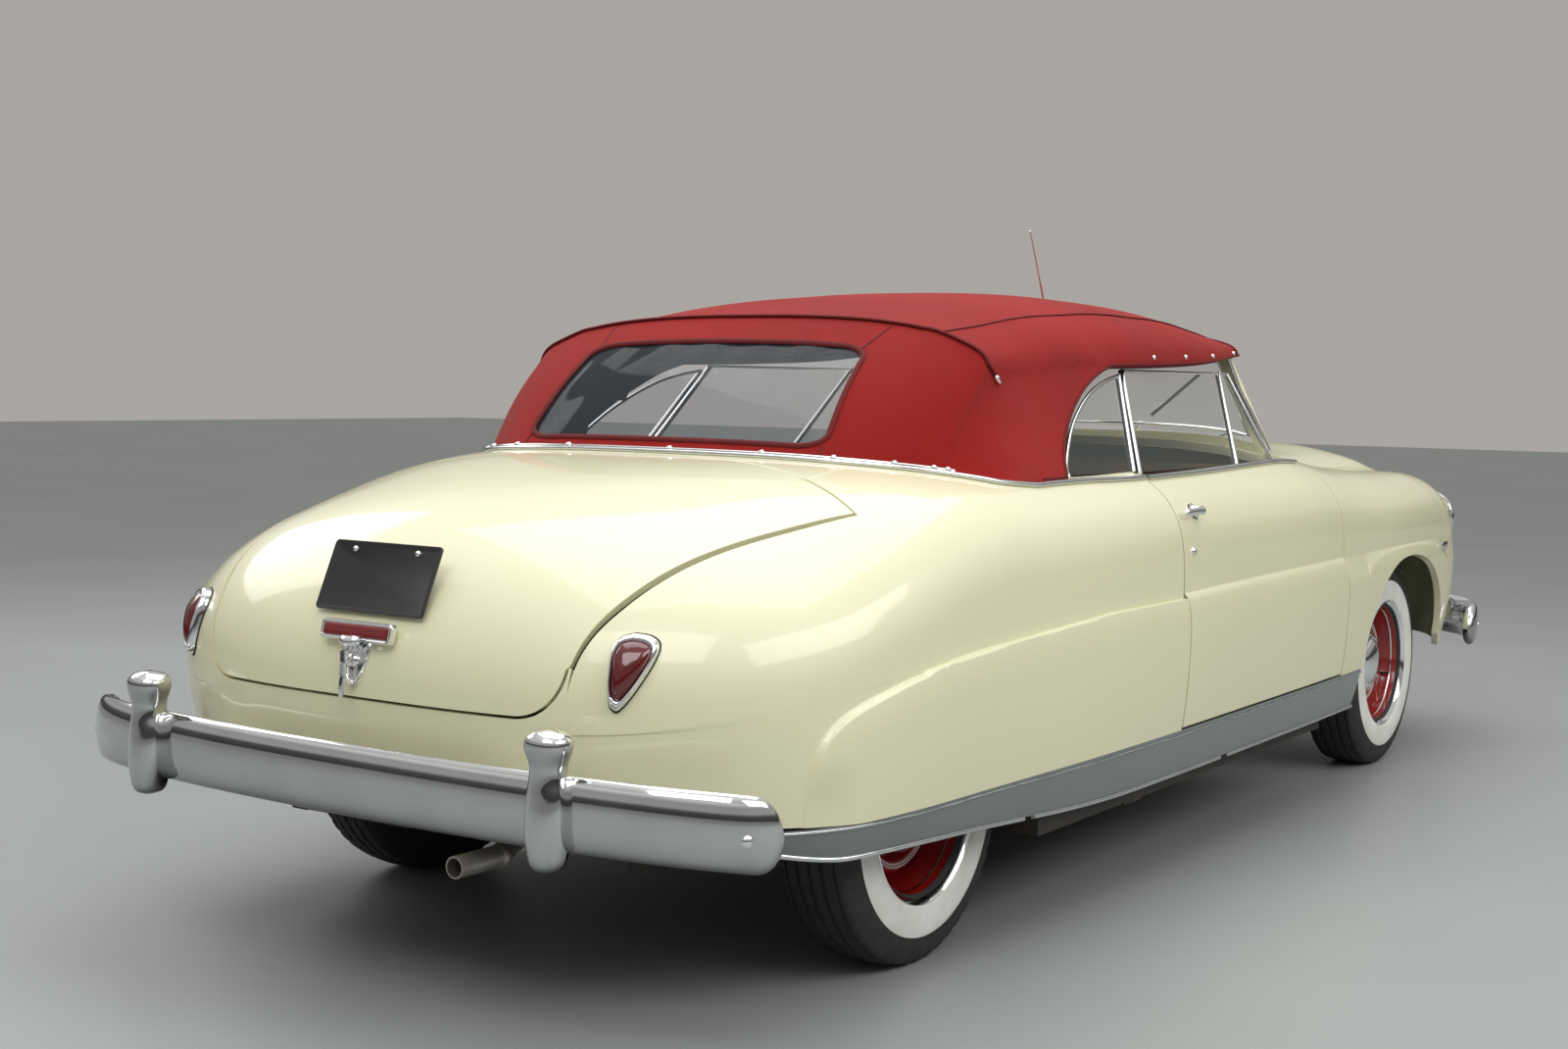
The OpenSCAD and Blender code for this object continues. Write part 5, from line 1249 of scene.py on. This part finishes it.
def guard(x, y, zl, zh, rx=54, ry=44):
    prof = np.array([[0.0, 0.16, 0.30], [0.015, 0.40, 0.60], [0.05, 0.55, 0.80], [0.13, 0.66, 0.93],
                     [0.26, 0.76, 0.99],
                     [0.40, 0.79, 0.97], [0.54, 0.74, 0.90], [0.66, 0.64, 0.84], [0.74, 0.62, 0.84],
                     [0.80, 0.72, 0.91],
                     [0.86, 0.84, 0.98], [0.91, 0.85, 0.99], [0.95, 0.76, 0.90], [0.98, 0.55, 0.68],
                     [1.0, 0.14, 0.2]])
    fr_ = np.linspace(0, 1, 46)
    kx, ky = curve(prof[:, [0, 1]], fr_), curve(prof[:, [0, 2]], fr_)
    a = np.linspace(0, 2 * math.pi, 32, endpoint=False)
    cx, cy = np.sign(np.cos(a)) * np.abs(np.cos(a)) ** 0.9, np.sign(np.sin(a)) * np.abs(np.sin(a)) ** 0.9
    R = [np.stack([x + rx * kx[i] * cx, y + ry * ky[i] * cy, np.full_like(a, mix(zl, zh, fr_[i]))], 1)
         for i in range(46)]
    return loft(R)


rear = [blade(930, 2249, 2477, 2.45, 474, 146, 48), guard(567, 2473, 366, 633), guard(-567, 2473, 366, 633)]
for sg in (1, -1):
    rear.append(block((sg * 380 - 25, 2292, 402), (sg * 380 + 25, 2459, 432)))
v, f = merge(rear)
# bumper chrome with painted shade: darker on the faces turned down towards the floor
BUMPER_PAINTED_SHADE = painted_shade_below(CHROME, "bumper_chrome_painted_shade")
make("rear_bumper_bright", v, f, BUMPER_PAINTED_SHADE, "shell", "chrome", ("rear_bumper",), smooth=50)
front = [blade(905, -2250, -2579, 3, 438, 146, 48)]
for x in (-430, 430):
    front.append(guard(x, -2573, 340, 560, 44, 26))
for sg in (1, -1):
    front.append(block((sg * 380 - 25, -2565, 296), (sg * 380 + 25, -2332, 338)))
v, f = merge(front)
make("front_bumper_bright", v, f, BUMPER_PAINTED_SHADE, "shell", "chrome", ("front_bumper",), smooth=50)
bolts = []
for sg in (1, -1):
    for y, z in ((2330, 449), (-2340, 412)):
        hw, q, y0, ym = (930, 2.45, 2249, 2477) if y > 0 else (905, 3, -2250, -2579)
        fr_y = (y - y0) / (ym - y0)
        xx = hw * bow(abs(fr_y), q)
        nn = np.array([sg * 1.0, 0.25 if y > 0 else -0.2, 0])
        bolts.append(lathe([[14, -4], [13, 3], [9, 7], [0.01, 9]],
                           (sg * (float(xx) + 21), y + (5 if y > 0 else -5), z),
                           nn, 20, start=(0, 0, 1)))
v, f = merge(bolts)
make("bumper_bolts", v, f, CHROME, "shell", "chrome", smooth=50)

# ---- lamps ------------------------------------------------------------------------------------------
shield = smooth_path([[607, 0, 790], [633, 0, 786], [650, 0, 775], [655, 0, 757], [649, 0, 726],
                      [634, 0, 690],
                      [617, 0, 662], [605, 0, 651], [594, 0, 659], [588, 0, 684], [583, 0, 722],
                      [579, 0, 758],
                      [585, 0, 781], [607, 0, 790]], 73)[:-1]
sc_ = np.array([614.0, 727.0])


def lamp_ring(k, h, sg, nrm):
    x = sc_[0] + (shield[:, 0] - sc_[0]) * k
    z = sc_[1] + (shield[:, 2] - sc_[1]) * k
    P = np.stack([sg * x, drop_y(x, z), z], 1)
    return P + nrm * np.array([sg, 1, 1]) * h


e_ = 8.0
c0 = np.array([614, float(drop_y(614, 727)), 727])
tx = np.array([614 + e_, float(drop_y(614 + e_, 727)), 727]) - c0
tz = np.array([614, float(drop_y(614, 727 + e_)), 727 + e_]) - c0
nrm = np.cross(tz, tx)
nrm /= np.linalg.norm(nrm)
nrm = nrm if nrm[1] > 0 else -nrm
for side_, sg in (("left", 1), ("right", -1)):
    def rings(spec):
        R = np.array([lamp_ring(k, h, sg, nrm) for k, h in spec])
        return list(R.reshape(-1, 3)), quads(len(spec), R.shape[1], close_v=True)

    v, f = rings([(1.07, -2), (1.07, 2.5), (1.0, 4)])
    make("tail_lamp_gasket_" + side_, v, f, SEAL, "shell", "red_lens", smooth=60)
    v, f = rings([(1.03, 0), (1.03, 8), (1.0, 15), (0.95, 19.5), (0.88, 21), (0.82, 18.5), (0.79, 12)])
    make("tail_lamp_bezel_" + side_, v, f, CHROME, "shell", "chrome", smooth=60)
    v, f = rings([(0.81, 10), (0.80, 15), (0.74, 21), (0.6, 26), (0.4, 29.5), (0.2, 31), (0.02, 31.5)])
    make("tail_lamp_lens_" + side_, v, f, LENS, "shell", "red_lens", ("tail_lamps",) if sg > 0 else (),
         smooth=60)
    c = np.array([sg * 690, -2378.0, 800])
    v, f = lathe([[100, -46], [104, -52], [103, -60], [97, -66], [90, -64], [86, -56], [86, -40]],
                 c * [1, 1, 1] + [0, 0, 0],
                 (0, 1, 0), 64)
    make("headlamp_rim_" + side_, v, f, CHROME, "shell", "chrome", smooth=50)
    v, f = lathe([[89, -50], [86, -60], [70, -68], [46, -73], [22, -76], [0.01, -77]], c, (0, 1, 0), 64)
    make("headlamp_lens_" + side_, v, f, LAMP_GLASS, "shell", "lamp_glass", smooth=60)
    v, f = lathe([[88, -48], [70, -30], [46, -12], [20, -2], [0.01, 0]], c, (0, 1, 0), 48)
    make("headlamp_bowl_" + side_, v, f, CHROME, "shell", "lamp_glass", ("headlamps",) if sg > 0 else (),
         smooth=60)

# ---- fittings on the lid ----------------------------------------------------------------------------
lean = math.radians(24)
pc = np.array([0.0, float(drop_y(0, 862)) + 36, 862.0])


def leaned(P, centre, a):
    P = np.asarray(P, float)
    c, s = math.cos(a), math.sin(a)
    return np.stack([P[:, 0], P[:, 1] * c - P[:, 2] * s, P[:, 1] * s + P[:, 2] * c], 1) + centre


def rounded_rect(w, h, r, k=6):
    out = []
    for cx, cz, a0 in ((w / 2 - r, h / 2 - r, 0), (-w / 2 + r, h / 2 - r, 90), (-w / 2 + r, -h / 2 + r, 180),
                       (w / 2 - r, -h / 2 + r, 270)):
        out += [[cx + r * math.cos(math.radians(a0 + 90 * i / k)),
                 cz + r * math.sin(math.radians(a0 + 90 * i / k))]
                for i in range(k + 1)]
    return np.array(out)


def plaque(w, h, r, spec):
    """A rounded plate as rings of (inset, height)."""
    base = rounded_rect(w, h, r)
    R = []
    for inset, y in spec:
        k = np.array([(w / 2 - inset) / (w / 2), (h / 2 - inset) / (h / 2)])
        R.append(np.stack([base[:, 0] * k[0], np.full(len(base), y), base[:, 1] * k[1]], 1))
    return loft(R)


v, f = merge([plaque(305, 152, 9, [(0, 0), (0, 3.2), (1, 4.4), (6, 4.4), (8, 3.4)]),
              block((-60, -20, -26), (60, 0.5, 13))])
make("licence_plate_blank", leaned(v, pc, lean), f, BLACK, "deck_lid", "plate_black", ("licence_plate",),
     bevel=0,
     smooth=30)
v, f = merge([lathe([[6.5, 3], [6, 6], [3, 8], [0.01, 8.4]], (x, 0, 58), (0, 1, 0), 14) for x in (-89, 89)])
make("plate_bolts", leaned(v, pc, lean), f, CHROME, "deck_lid", "chrome", smooth=50)
la = math.radians(15)
lc = np.array([0.0, float(drop_y(0, 745)) + 2.8, 745.0])
v, f = plaque(196, 42, 8, [(0, 0), (0, 12), (1.5, 16), (4, 17), (6, 15.5), (15, 15.5)])
bar = np.array(leaned(v, lc + [0, 4, 12], la))
make("lid_badge_bar", bar, f, CHROME, "deck_lid", "chrome", ("lid_handle",), smooth=40)
v, f = plaque(176, 25, 4, [(0, 14), (0, 17.2), (1, 18), (8, 18)])
make("lid_badge_insert", leaned(v, lc + [0, 4, 12], la), f, INSERT, "deck_lid", "chrome", smooth=40)
sh = smooth_path([[0, 0, 4], [26, 0, 0], [33, 0, -22], [27, 0, -62], [12, 0, -92], [0, 0, -100],
                  [-12, 0, -92],
                  [-27, 0, -62], [-33, 0, -22], [-26, 0, 0], [0, 0, 4]], 49)[:-1]
sk = np.array([0, 0, -44])
R = [(sh - sk) * [k, 1, k] + sk + [0, h, 0]
     for k, h in ((1.0, -6), (1.0, 3), (0.93, 7), (0.84, 6), (0.78, 3.5), (0.5, 8), (0.1, 10))]
esc = loft(R)
grip = [tube(smooth_path([[0, 8, -12], [0, 30, -16], [0, 36, -40], [0, 30, -84], [0, 27, -112],
                          [0, 24, -124]], 26),
             np.interp(np.linspace(0, 1, 26), [0, 0.2, 0.4, 0.8, 1], [9, 13, 9, 7, 5]), 14),
        tube(smooth_path([[-24, 26, -8], [0, 34, -14], [24, 26, -8]], 12),
             [7, 10, 12, 12, 12, 13, 13, 12, 12, 12, 10, 7], 12),
        lathe([[16, 4], [15, 12], [9, 18], [0.01, 20]], (0, 0, -46), (0, 1, 0), 24)]
v, f = merge([esc] + grip)
make("lid_latch", leaned(v, lc + [0, 2, 0], la), f, CHROME, "deck_lid", "chrome", smooth=50)

# ---- door handles, lock buttons, antenna ------------------------------------------------------------
for side_, sg in (("left", 1), ("right", -1)):
    x = float(top_x(410, 958))
    P = smooth_path([[x + 16, 352, 958], [x + 27, 372, 959], [x + 28, 420, 960], [x + 25, 476, 959],
                     [x + 22, 508, 957]], 26)
    P[:, 0] *= sg
    body = f"door_{side_}_body"
    P[:, 1] -= 42 * 0
    P[:, 1] = 358 + (P[:, 1] - 352) * 0.72
    r_ = np.interp(np.linspace(0, 1, 26), [0, 0.15, 0.3, 0.7, 0.93, 1], [8, 13, 9.5, 8.5, 10, 4])
    parts_ = [tube(P, r_, 12, squash=(0.8, 1.0)),
              tube([[sg * (x - 3), 372, 955], [sg * (x + 14), 372, 957], [sg * (x + 24), 372, 958]],
                   [19, 14, 10], 16),
              lathe([[24, -3], [23, 3], [17, 6], [12, 6.5]], (sg * (x + 0.5), 372, 955), (sg, 0, 0.42), 28,
                    start=(0, 1, 0))]
    xl = float(top_x(420, 858))
    parts_.append(lathe([[11, -2], [10.5, 4], [7, 7], [0.01, 8]], (sg * xl, 424, 858), (sg, 0, 0.2), 20,
                        start=(0, 1, 0)))
    v, f = merge(parts_)
    make("door_handle_bright_" + side_, v, f, CHROME, body, "chrome", ("door_handle_" + side_,), smooth=50)
a26 = math.radians(26)
mast = [np.array([0, -612 + 345 * k * math.sin(a26),
                  1450 + 345 * k * math.cos(a26)]) for k in np.linspace(0, 1, 12)]
v, f = merge([tube(mast, np.interp(np.linspace(0, 1, 12), [0, 0.5, 0.51, 1], [3, 3, 2.1, 1.8]), 8),
              lathe([[9, -24], [9, 4], [6, 9], [3, 12]], (0, -612, 1450), (0, 0, 1), 20, start=(0, 1, 0)),
              lathe([[0.01, 4], [3, 2.5], [4, 0], [3, -2.5], [0.01, -4]], mast[-1] - np.array([0, 0, 2.5]),
                    (0, 0, 1), 12,
                    start=(0, 1, 0))])
make("antenna_mast", v, f, CHROME, "shell", "chrome", ("antenna",), smooth=50)
# bright block at the front end of each side crease, and the hood's plain ornament
for side_, sg in (("left", 1), ("right", -1)):
    y0, y1 = -2004, -1900
    zc = float(crease_z(-1950))
    ys = np.linspace(y0, y1, 8)
    P = np.stack([sg * (low_x(ys, zc - 22) + 4), ys, np.full(8, zc - 24)], 1)
    v, f = tube(P, np.interp(ys, [y0, y0 + 16, y1 - 10, y1], [4, 11, 11, 5]), 10, squash=(0.5, 1.3))
    make("fender_side_trim_" + side_, v, f, CHROME, "shell", "chrome", smooth=50)
ys = np.linspace(-2230, -1980, 12)
P = np.stack([np.zeros(12), ys, top_z(0, ys) + np.interp(ys, [-2230, -2120, -1980], [4, 26, 6])], 1)
v, f = tube(P, np.interp(ys, [-2230, -2190, -2080, -1980], [3, 12, 9, 3]), 12, squash=(0.7, 1.2))
make("hood_ornament", v, f, CHROME, "hood_lid", "chrome", smooth=60)
ys = np.linspace(-1960, -800, 40)
P = np.stack([np.zeros(40), ys, top_z(0, ys) + 2], 1)
v, f = tube(P, 5, 8, squash=(1.2, 0.6))
make("hood_centre_strip", v, f, CHROME, "hood_lid", "chrome", smooth=60)

# grille, with a bright surround and round parking lamps
paint_nodes(["grille"], CHROME)
xs = np.linspace(-548, 548, 60)
gr = []
for z, r_ in ((640, 12), (430, 12)):
    P = np.stack([xs, nose_at(xs) + 3, np.full(60, z)], 1)
    gr.append(tube(P, r_, 10, squash=(1, 0.9)))
for sg in (1, -1):
    gr.append(tube([[sg * 548, float(nose_at(548)) + 3, z] for z in (432, 500, 570, 640)], 11, 10))
    gr.append(lathe([[52, -4], [54, -14], [50, -20], [42, -20], [40, -8]],
                    (sg * 640, float(nose_at(640)) + 8, 560),
                    (0, 1, 0), 40))
for z in (476, 524, 572, 616):
    P = np.stack([xs * 0.95, nose_at(xs * 0.95) + 7, np.full(60, z)], 1)
    gr.append(tube(P, 8, 8, squash=(1.2, 0.7)))
v, f = merge(gr)
make("grille_bright", v, f, CHROME, "shell", "chrome", smooth=50)
v, f = merge([lathe([[43, -12], [34, -24], [18, -29], [0.01, -31]],
                    (sg * 640, float(nose_at(640)) + 8, 560), (0, 1, 0), 40)
              for sg in (1, -1)])
make("parking_lamp_lenses", v, f, LAMP_GLASS, "shell", "lamp_glass", smooth=60)
v, f = block((-560, -2330, 352), (560, -2322, 640))
make("grille_backing", v, f, UNDER, "shell", "chassis_black", bevel=2)

# ---- cabin ------------------------------------------------------------------------------------------
FLOOR = 236.0


def pleated(poly, w, pitch, depth, ends=34):
    """A cushion swept across the car, with stitched channels."""
    poly = np.asarray(poly, float)
    for _ in range(3):  # corner cutting gives the stuffed roundness
        poly = np.stack([0.75 * poly + 0.25 * np.roll(poly, -1, 0),
                         0.25 * poly + 0.75 * np.roll(poly, -1, 0)],
                        1).reshape(-1, 2)
    c = poly.mean(0)
    xs_ = np.r_[-w / 2 + ends * (1 - np.cos(np.linspace(0, math.pi / 2, 8))),
                np.linspace(-w / 2 + ends, w / 2 - ends, int((w - 2 * ends) / pitch * 8))[1:-1],
                w / 2 - ends * (1 - np.cos(np.linspace(math.pi / 2, 0, 8)))]
    t_ = np.roll(poly, -1, 0) - np.roll(poly, 1, 0)
    nn = np.stack([t_[:, 1], -t_[:, 0]], 1)
    nn /= np.linalg.norm(nn, axis=1, keepdims=True)
    if ((poly - c) * nn).sum() < 0:
        nn = -nn
    R = []
    for x in xs_:
        e = max(0, (abs(x) - (w / 2 - ends)) / ends)
        inset = ends * (1 - math.sqrt(max(0, 1 - e * e))) * 0.9
        puff = depth * (abs(math.sin(math.pi * x / pitch)) ** 0.6 - 1) * (e <= 0)
        q = poly + nn * (puff - inset)
        R.append(np.stack([np.full(len(q), x), q[:, 0], q[:, 1]], 1))
    return loft(R)


def bench_seat(tag, node, w, y0, d, back_h, lean_):
    z0 = FLOOR + 26.3
    h = 330.0
    cushion = [[y0 + 6, z0 + 140], [y0 + 4, z0 + h - 26], [y0 + 40, z0 + h + 6], [y0 + d - 112, z0 + h - 8],
               [y0 + d - 104, z0 + 150], [y0 + 60, z0 + 132]]
    backr = [[y0 + d - 124, z0 + h - 70], [y0 + d + lean_ - 106, z0 + h + back_h - 34],
             [y0 + d + lean_ - 78, z0 + h + back_h - 2], [y0 + d + lean_ - 22, z0 + h + back_h - 2],
             [y0 + d + lean_ + 6, z0 + h + back_h - 30], [y0 + d - 28, z0 + h - 80]]
    made = []
    for part, poly, mat in (("cushion", cushion, LEATHER), ("backrest", backr, LEATHER)):
        v, f = pleated(poly, w, 92, 7)
        o = make(f"{tag}_{part}", v, f, mat, "shell", "seat_leather", (node,) if part == "cushion" else (),
                 smooth=70)
        made.append(o)
    for sg in (1, -1):
        v, f = block((sg * w / 2 * 0.16 if sg > 0 else -w / 2 + 20, y0 + 46, z0),
                     (w / 2 - 20 if sg > 0 else -w / 2 * 0.25, y0 + d - 70, z0 + 150))
        make(f"{tag}_base_{'left' if sg > 0 else 'right'}", v, f, TRIM_IN, "shell", "seat_leather", bevel=8)


bench_seat("front_seat", "front_seat", 1270, -170, 560, 340, 130)
bench_seat("rear_seat", "rear_seat", 1060, 640, 450, 300, 25)
paint_nodes(["dashboard"], DASH)
paint_nodes(["steering_column"], TRIM_IN)
dd = [lathe([[78, 0], [80, -6], [76, -10], [70, -10], [66, -2]], (370, -506, 935), (0, -1, 0.12), 48),
      lathe([[52, 0], [54, -5], [50, -8], [45, -8], [42, -2]], (520, -506, 935), (0, -1, 0.12), 40),
      lathe([[40, 0], [42, -5], [38, -8], [33, -2]], (-420, -506, 940), (0, -1, 0.12), 36),
      tube([[-690, -500, 985], [690, -500, 985]], 6, 8, squash=(1, 0.7)),
      tube([[-690, -512, 880], [690, -512, 880]], 5, 8, squash=(1, 0.7))]
for x in (150, 200, 250, -120, -70, -20, 30):
    dd.append(lathe([[9, 0], [10, -14], [6, -18], [0.01, -19]], (x, -508, 915), (0, -1, 0), 14))
v, f = merge(dd)
make("dash_bright", v, f, CHROME, "shell", "chrome", smooth=50)
v, f = merge([lathe([[66, -1], [40, -1], [0.01, -1]], (370, -504, 935), (0, -1, 0.12), 40),
              lathe([[42, -1], [20, -1], [0.01, -1]], (520, -504, 935), (0, -1, 0.12), 32)])
make("dash_dials", v, f, WHITEWALL, "shell", "dash_paint", smooth=50)
cc = np.array([370, -380, 960.0])
ax = np.array([0, -math.sin(math.radians(117)), math.cos(math.radians(117))])
circle = np.array([[math.cos(a), math.sin(a)] for a in np.linspace(0, 2 * math.pi, 64, endpoint=False)])
ux = np.array([1.0, 0, 0])
uy = np.cross(ax, ux)
v, f = tube([cc + ux * 203 * c + uy * 203 * s for c, s in circle], 11.5, 12, closed=True, up_hint=ax)
spokes = []
for a in (0, 120, 240):
    b_ = math.radians(a + 90)
    dvec = ux * math.cos(b_) + uy * math.sin(b_)
    spokes.append(tube([cc + dvec * r_ - ax * 4 for r_ in (26, 90, 150, 196)], [11, 8, 7, 9], 10,
                       squash=(1, 0.6)))
v2, f2 = lathe([[42, -14], [44, 4], [36, 14], [18, 20], [0.01, 22]], cc, -ax, 36, start=(1, 0, 0))
v, f = merge([(v, f), (v2, f2)] + spokes)
make("steering_wheel_rim", v, f, BAKELITE, "steering", "wheel_plastic", ("steering_wheel",), smooth=50)
v, f = tube([cc + ux * 132 * c + uy * 132 * s + (-ax) * 16 for c, s in circle], 4, 8, closed=True, up_hint=ax)
make("horn_ring", v, f, CHROME, "steering", "chrome", smooth=60)
# carpet, side trims behind the doors and the shelf under the rear window
v, f = merge([block((-772, -738, FLOOR + 26), (-143, 1100, FLOOR + 36)),
              block((143, -738, FLOOR + 26), (772, 1100, FLOOR + 36)),
              block((-150, -738, FLOOR + 215), (150, 1100, FLOOR + 226))])
make("carpet_floor", v, f, CARPET, "shell", "underbody", bevel=4)
for side_, sg in (("left", 1), ("right", -1)):
    ys = np.linspace(492, 1120, 24)
    zs_ = np.linspace(400, 1030, 14)
    G = np.array([[[sg * (min(float(belt_x(y)) - 30, float(wide_up(y)) - 70) - 10
                          * math.sin(math.pi * (z - 400) / 630)),
                    y, z] for z in zs_] for y in ys])
    v, f = slab(G, G + np.array([sg * 8, 0, 0]))
    make("quarter_trim_" + side_, v, f, TRIM_IN, "shell", "seat_leather", smooth=60)
xs = np.linspace(-640, 640, 30)
G = np.array([[[x, y, 985 + 6 * math.cos(x / 640 * 1.4)] for y in np.linspace(1105,
    1330 - 150 * (abs(x) / 640) ** 3, 10)]
              for x in xs])
v, f = slab(G, G - np.array([0, 0, 14]))
make("package_shelf", v, f, CANVAS_IN, "shell", "canvas", smooth=60)

# ---- what shows from below --------------------------------------------------------------------------
paint_nodes(["floor_pan", "front_frame", "splash_aprons", "leaf_springs", "front_suspension", "rear_axle",
             "prop_shaft",
             "knuckle_left", "knuckle_right", "radiator", "fuel_tank"], UNDER)
paint_nodes(["exhaust"], PIPE)
paint_nodes(["engine_block"], ENGINE)
paint_nodes(["cowl"], PAINT)
# ---- stage and light --------------------------------------------------------------------------------
def stage_piece(name, verts, faces, mat):
    mesh = bpy.data.meshes.new(name)
    mesh.from_pydata([tuple(c * MM for c in p) for p in verts], [], faces)
    o = bpy.data.objects.new(name, mesh)
    scene.collection.objects.link(o)
    mesh.materials.append(mat)
    for f_ in mesh.polygons:
        f_.use_smooth = True


FLOOR_MAT = material("floor_pale", srgb(154, 158, 157), 0.42, vary=0.03, scale=0.7, rough_vary=0.06,
                     bump=0.03,
                     bump_scale=30)
R = 40000
stage_piece("floor", [(-R, -R, 0), (R, -R, 0), (R, R, 0), (-R, R, 0)], [(0, 1, 2, 3)], FLOOR_MAT)


def lamp(name, at, look, size, watts, size_y=None):
    data = bpy.data.lights.new(name, "AREA")
    data.energy, data.shape, data.size = watts, "RECTANGLE", size
    data.size_y = size_y or size
    o = bpy.data.objects.new(name, data)
    scene.collection.objects.link(o)
    o.location = at
    o.rotation_euler = (Vector(look) - Vector(at)).to_track_quat("-Z", "Y").to_euler()


lamp("over_tail", (-2.2, 6.0, 5.4), (0, 1.2, 0.8), 5.0, 150, 3.0)
lamp("over_side", (-6.4, 0.4, 4.6), (0, 0, 0.8), 7.0, 190, 2.6)
lamp("overhead", (0.4, -0.4, 6.0), (0, 0, 0), 6.5, 230, 6.5)
lamp("far_side", (6.0, 1.0, 4.4), (0, 0, 0.8), 5.0, 90, 2.4)

# a pale plain background for the eye, and a light and dark room for bright metal to mirror
world = bpy.data.worlds.new("world")
scene.world = world
world.use_nodes = True
wt = world.node_tree
bg = wt.nodes["Background"]
coord = wt.nodes.new("ShaderNodeTexCoord")
sep = wt.nodes.new("ShaderNodeSeparateXYZ")
ramp = wt.nodes.new("ShaderNodeValToRGB")
el = ramp.color_ramp.elements
el[0].position, el[0].color = 0.0, (0.05, 0.05, 0.05, 1)
el[1].position, el[1].color = 0.9, (0.9, 0.9, 0.88, 1)
for pos, val in ((0.10, 0.10), (0.16, 0.42), (0.34, 0.36), (0.5, 0.75), (0.62, 0.55)):
    e = el.new(pos)
    e.color = (val, val * 0.98, val * 0.95, 1)
wt.links.new(coord.outputs["Generated"], sep.inputs[0])
wt.links.new(sep.outputs["Z"], ramp.inputs[0])
path = wt.nodes.new("ShaderNodeLightPath")
either = wt.nodes.new("ShaderNodeMath")
either.operation = "MAXIMUM"
wt.links.new(path.outputs["Is Camera Ray"], either.inputs[0])
wt.links.new(path.outputs["Is Transmission Ray"], either.inputs[1])
pick = wt.nodes.new("ShaderNodeMix")
pick.data_type = "RGBA"
wt.links.new(either.outputs[0], pick.inputs[0])
wt.links.new(ramp.outputs[0], pick.inputs[6])
pick.inputs[7].default_value = (0.50, 0.475, 0.45, 1)
wt.links.new(pick.outputs[2], bg.inputs[0])
bg.inputs[1].default_value = 0.8
scene.view_settings.view_transform = "Standard"
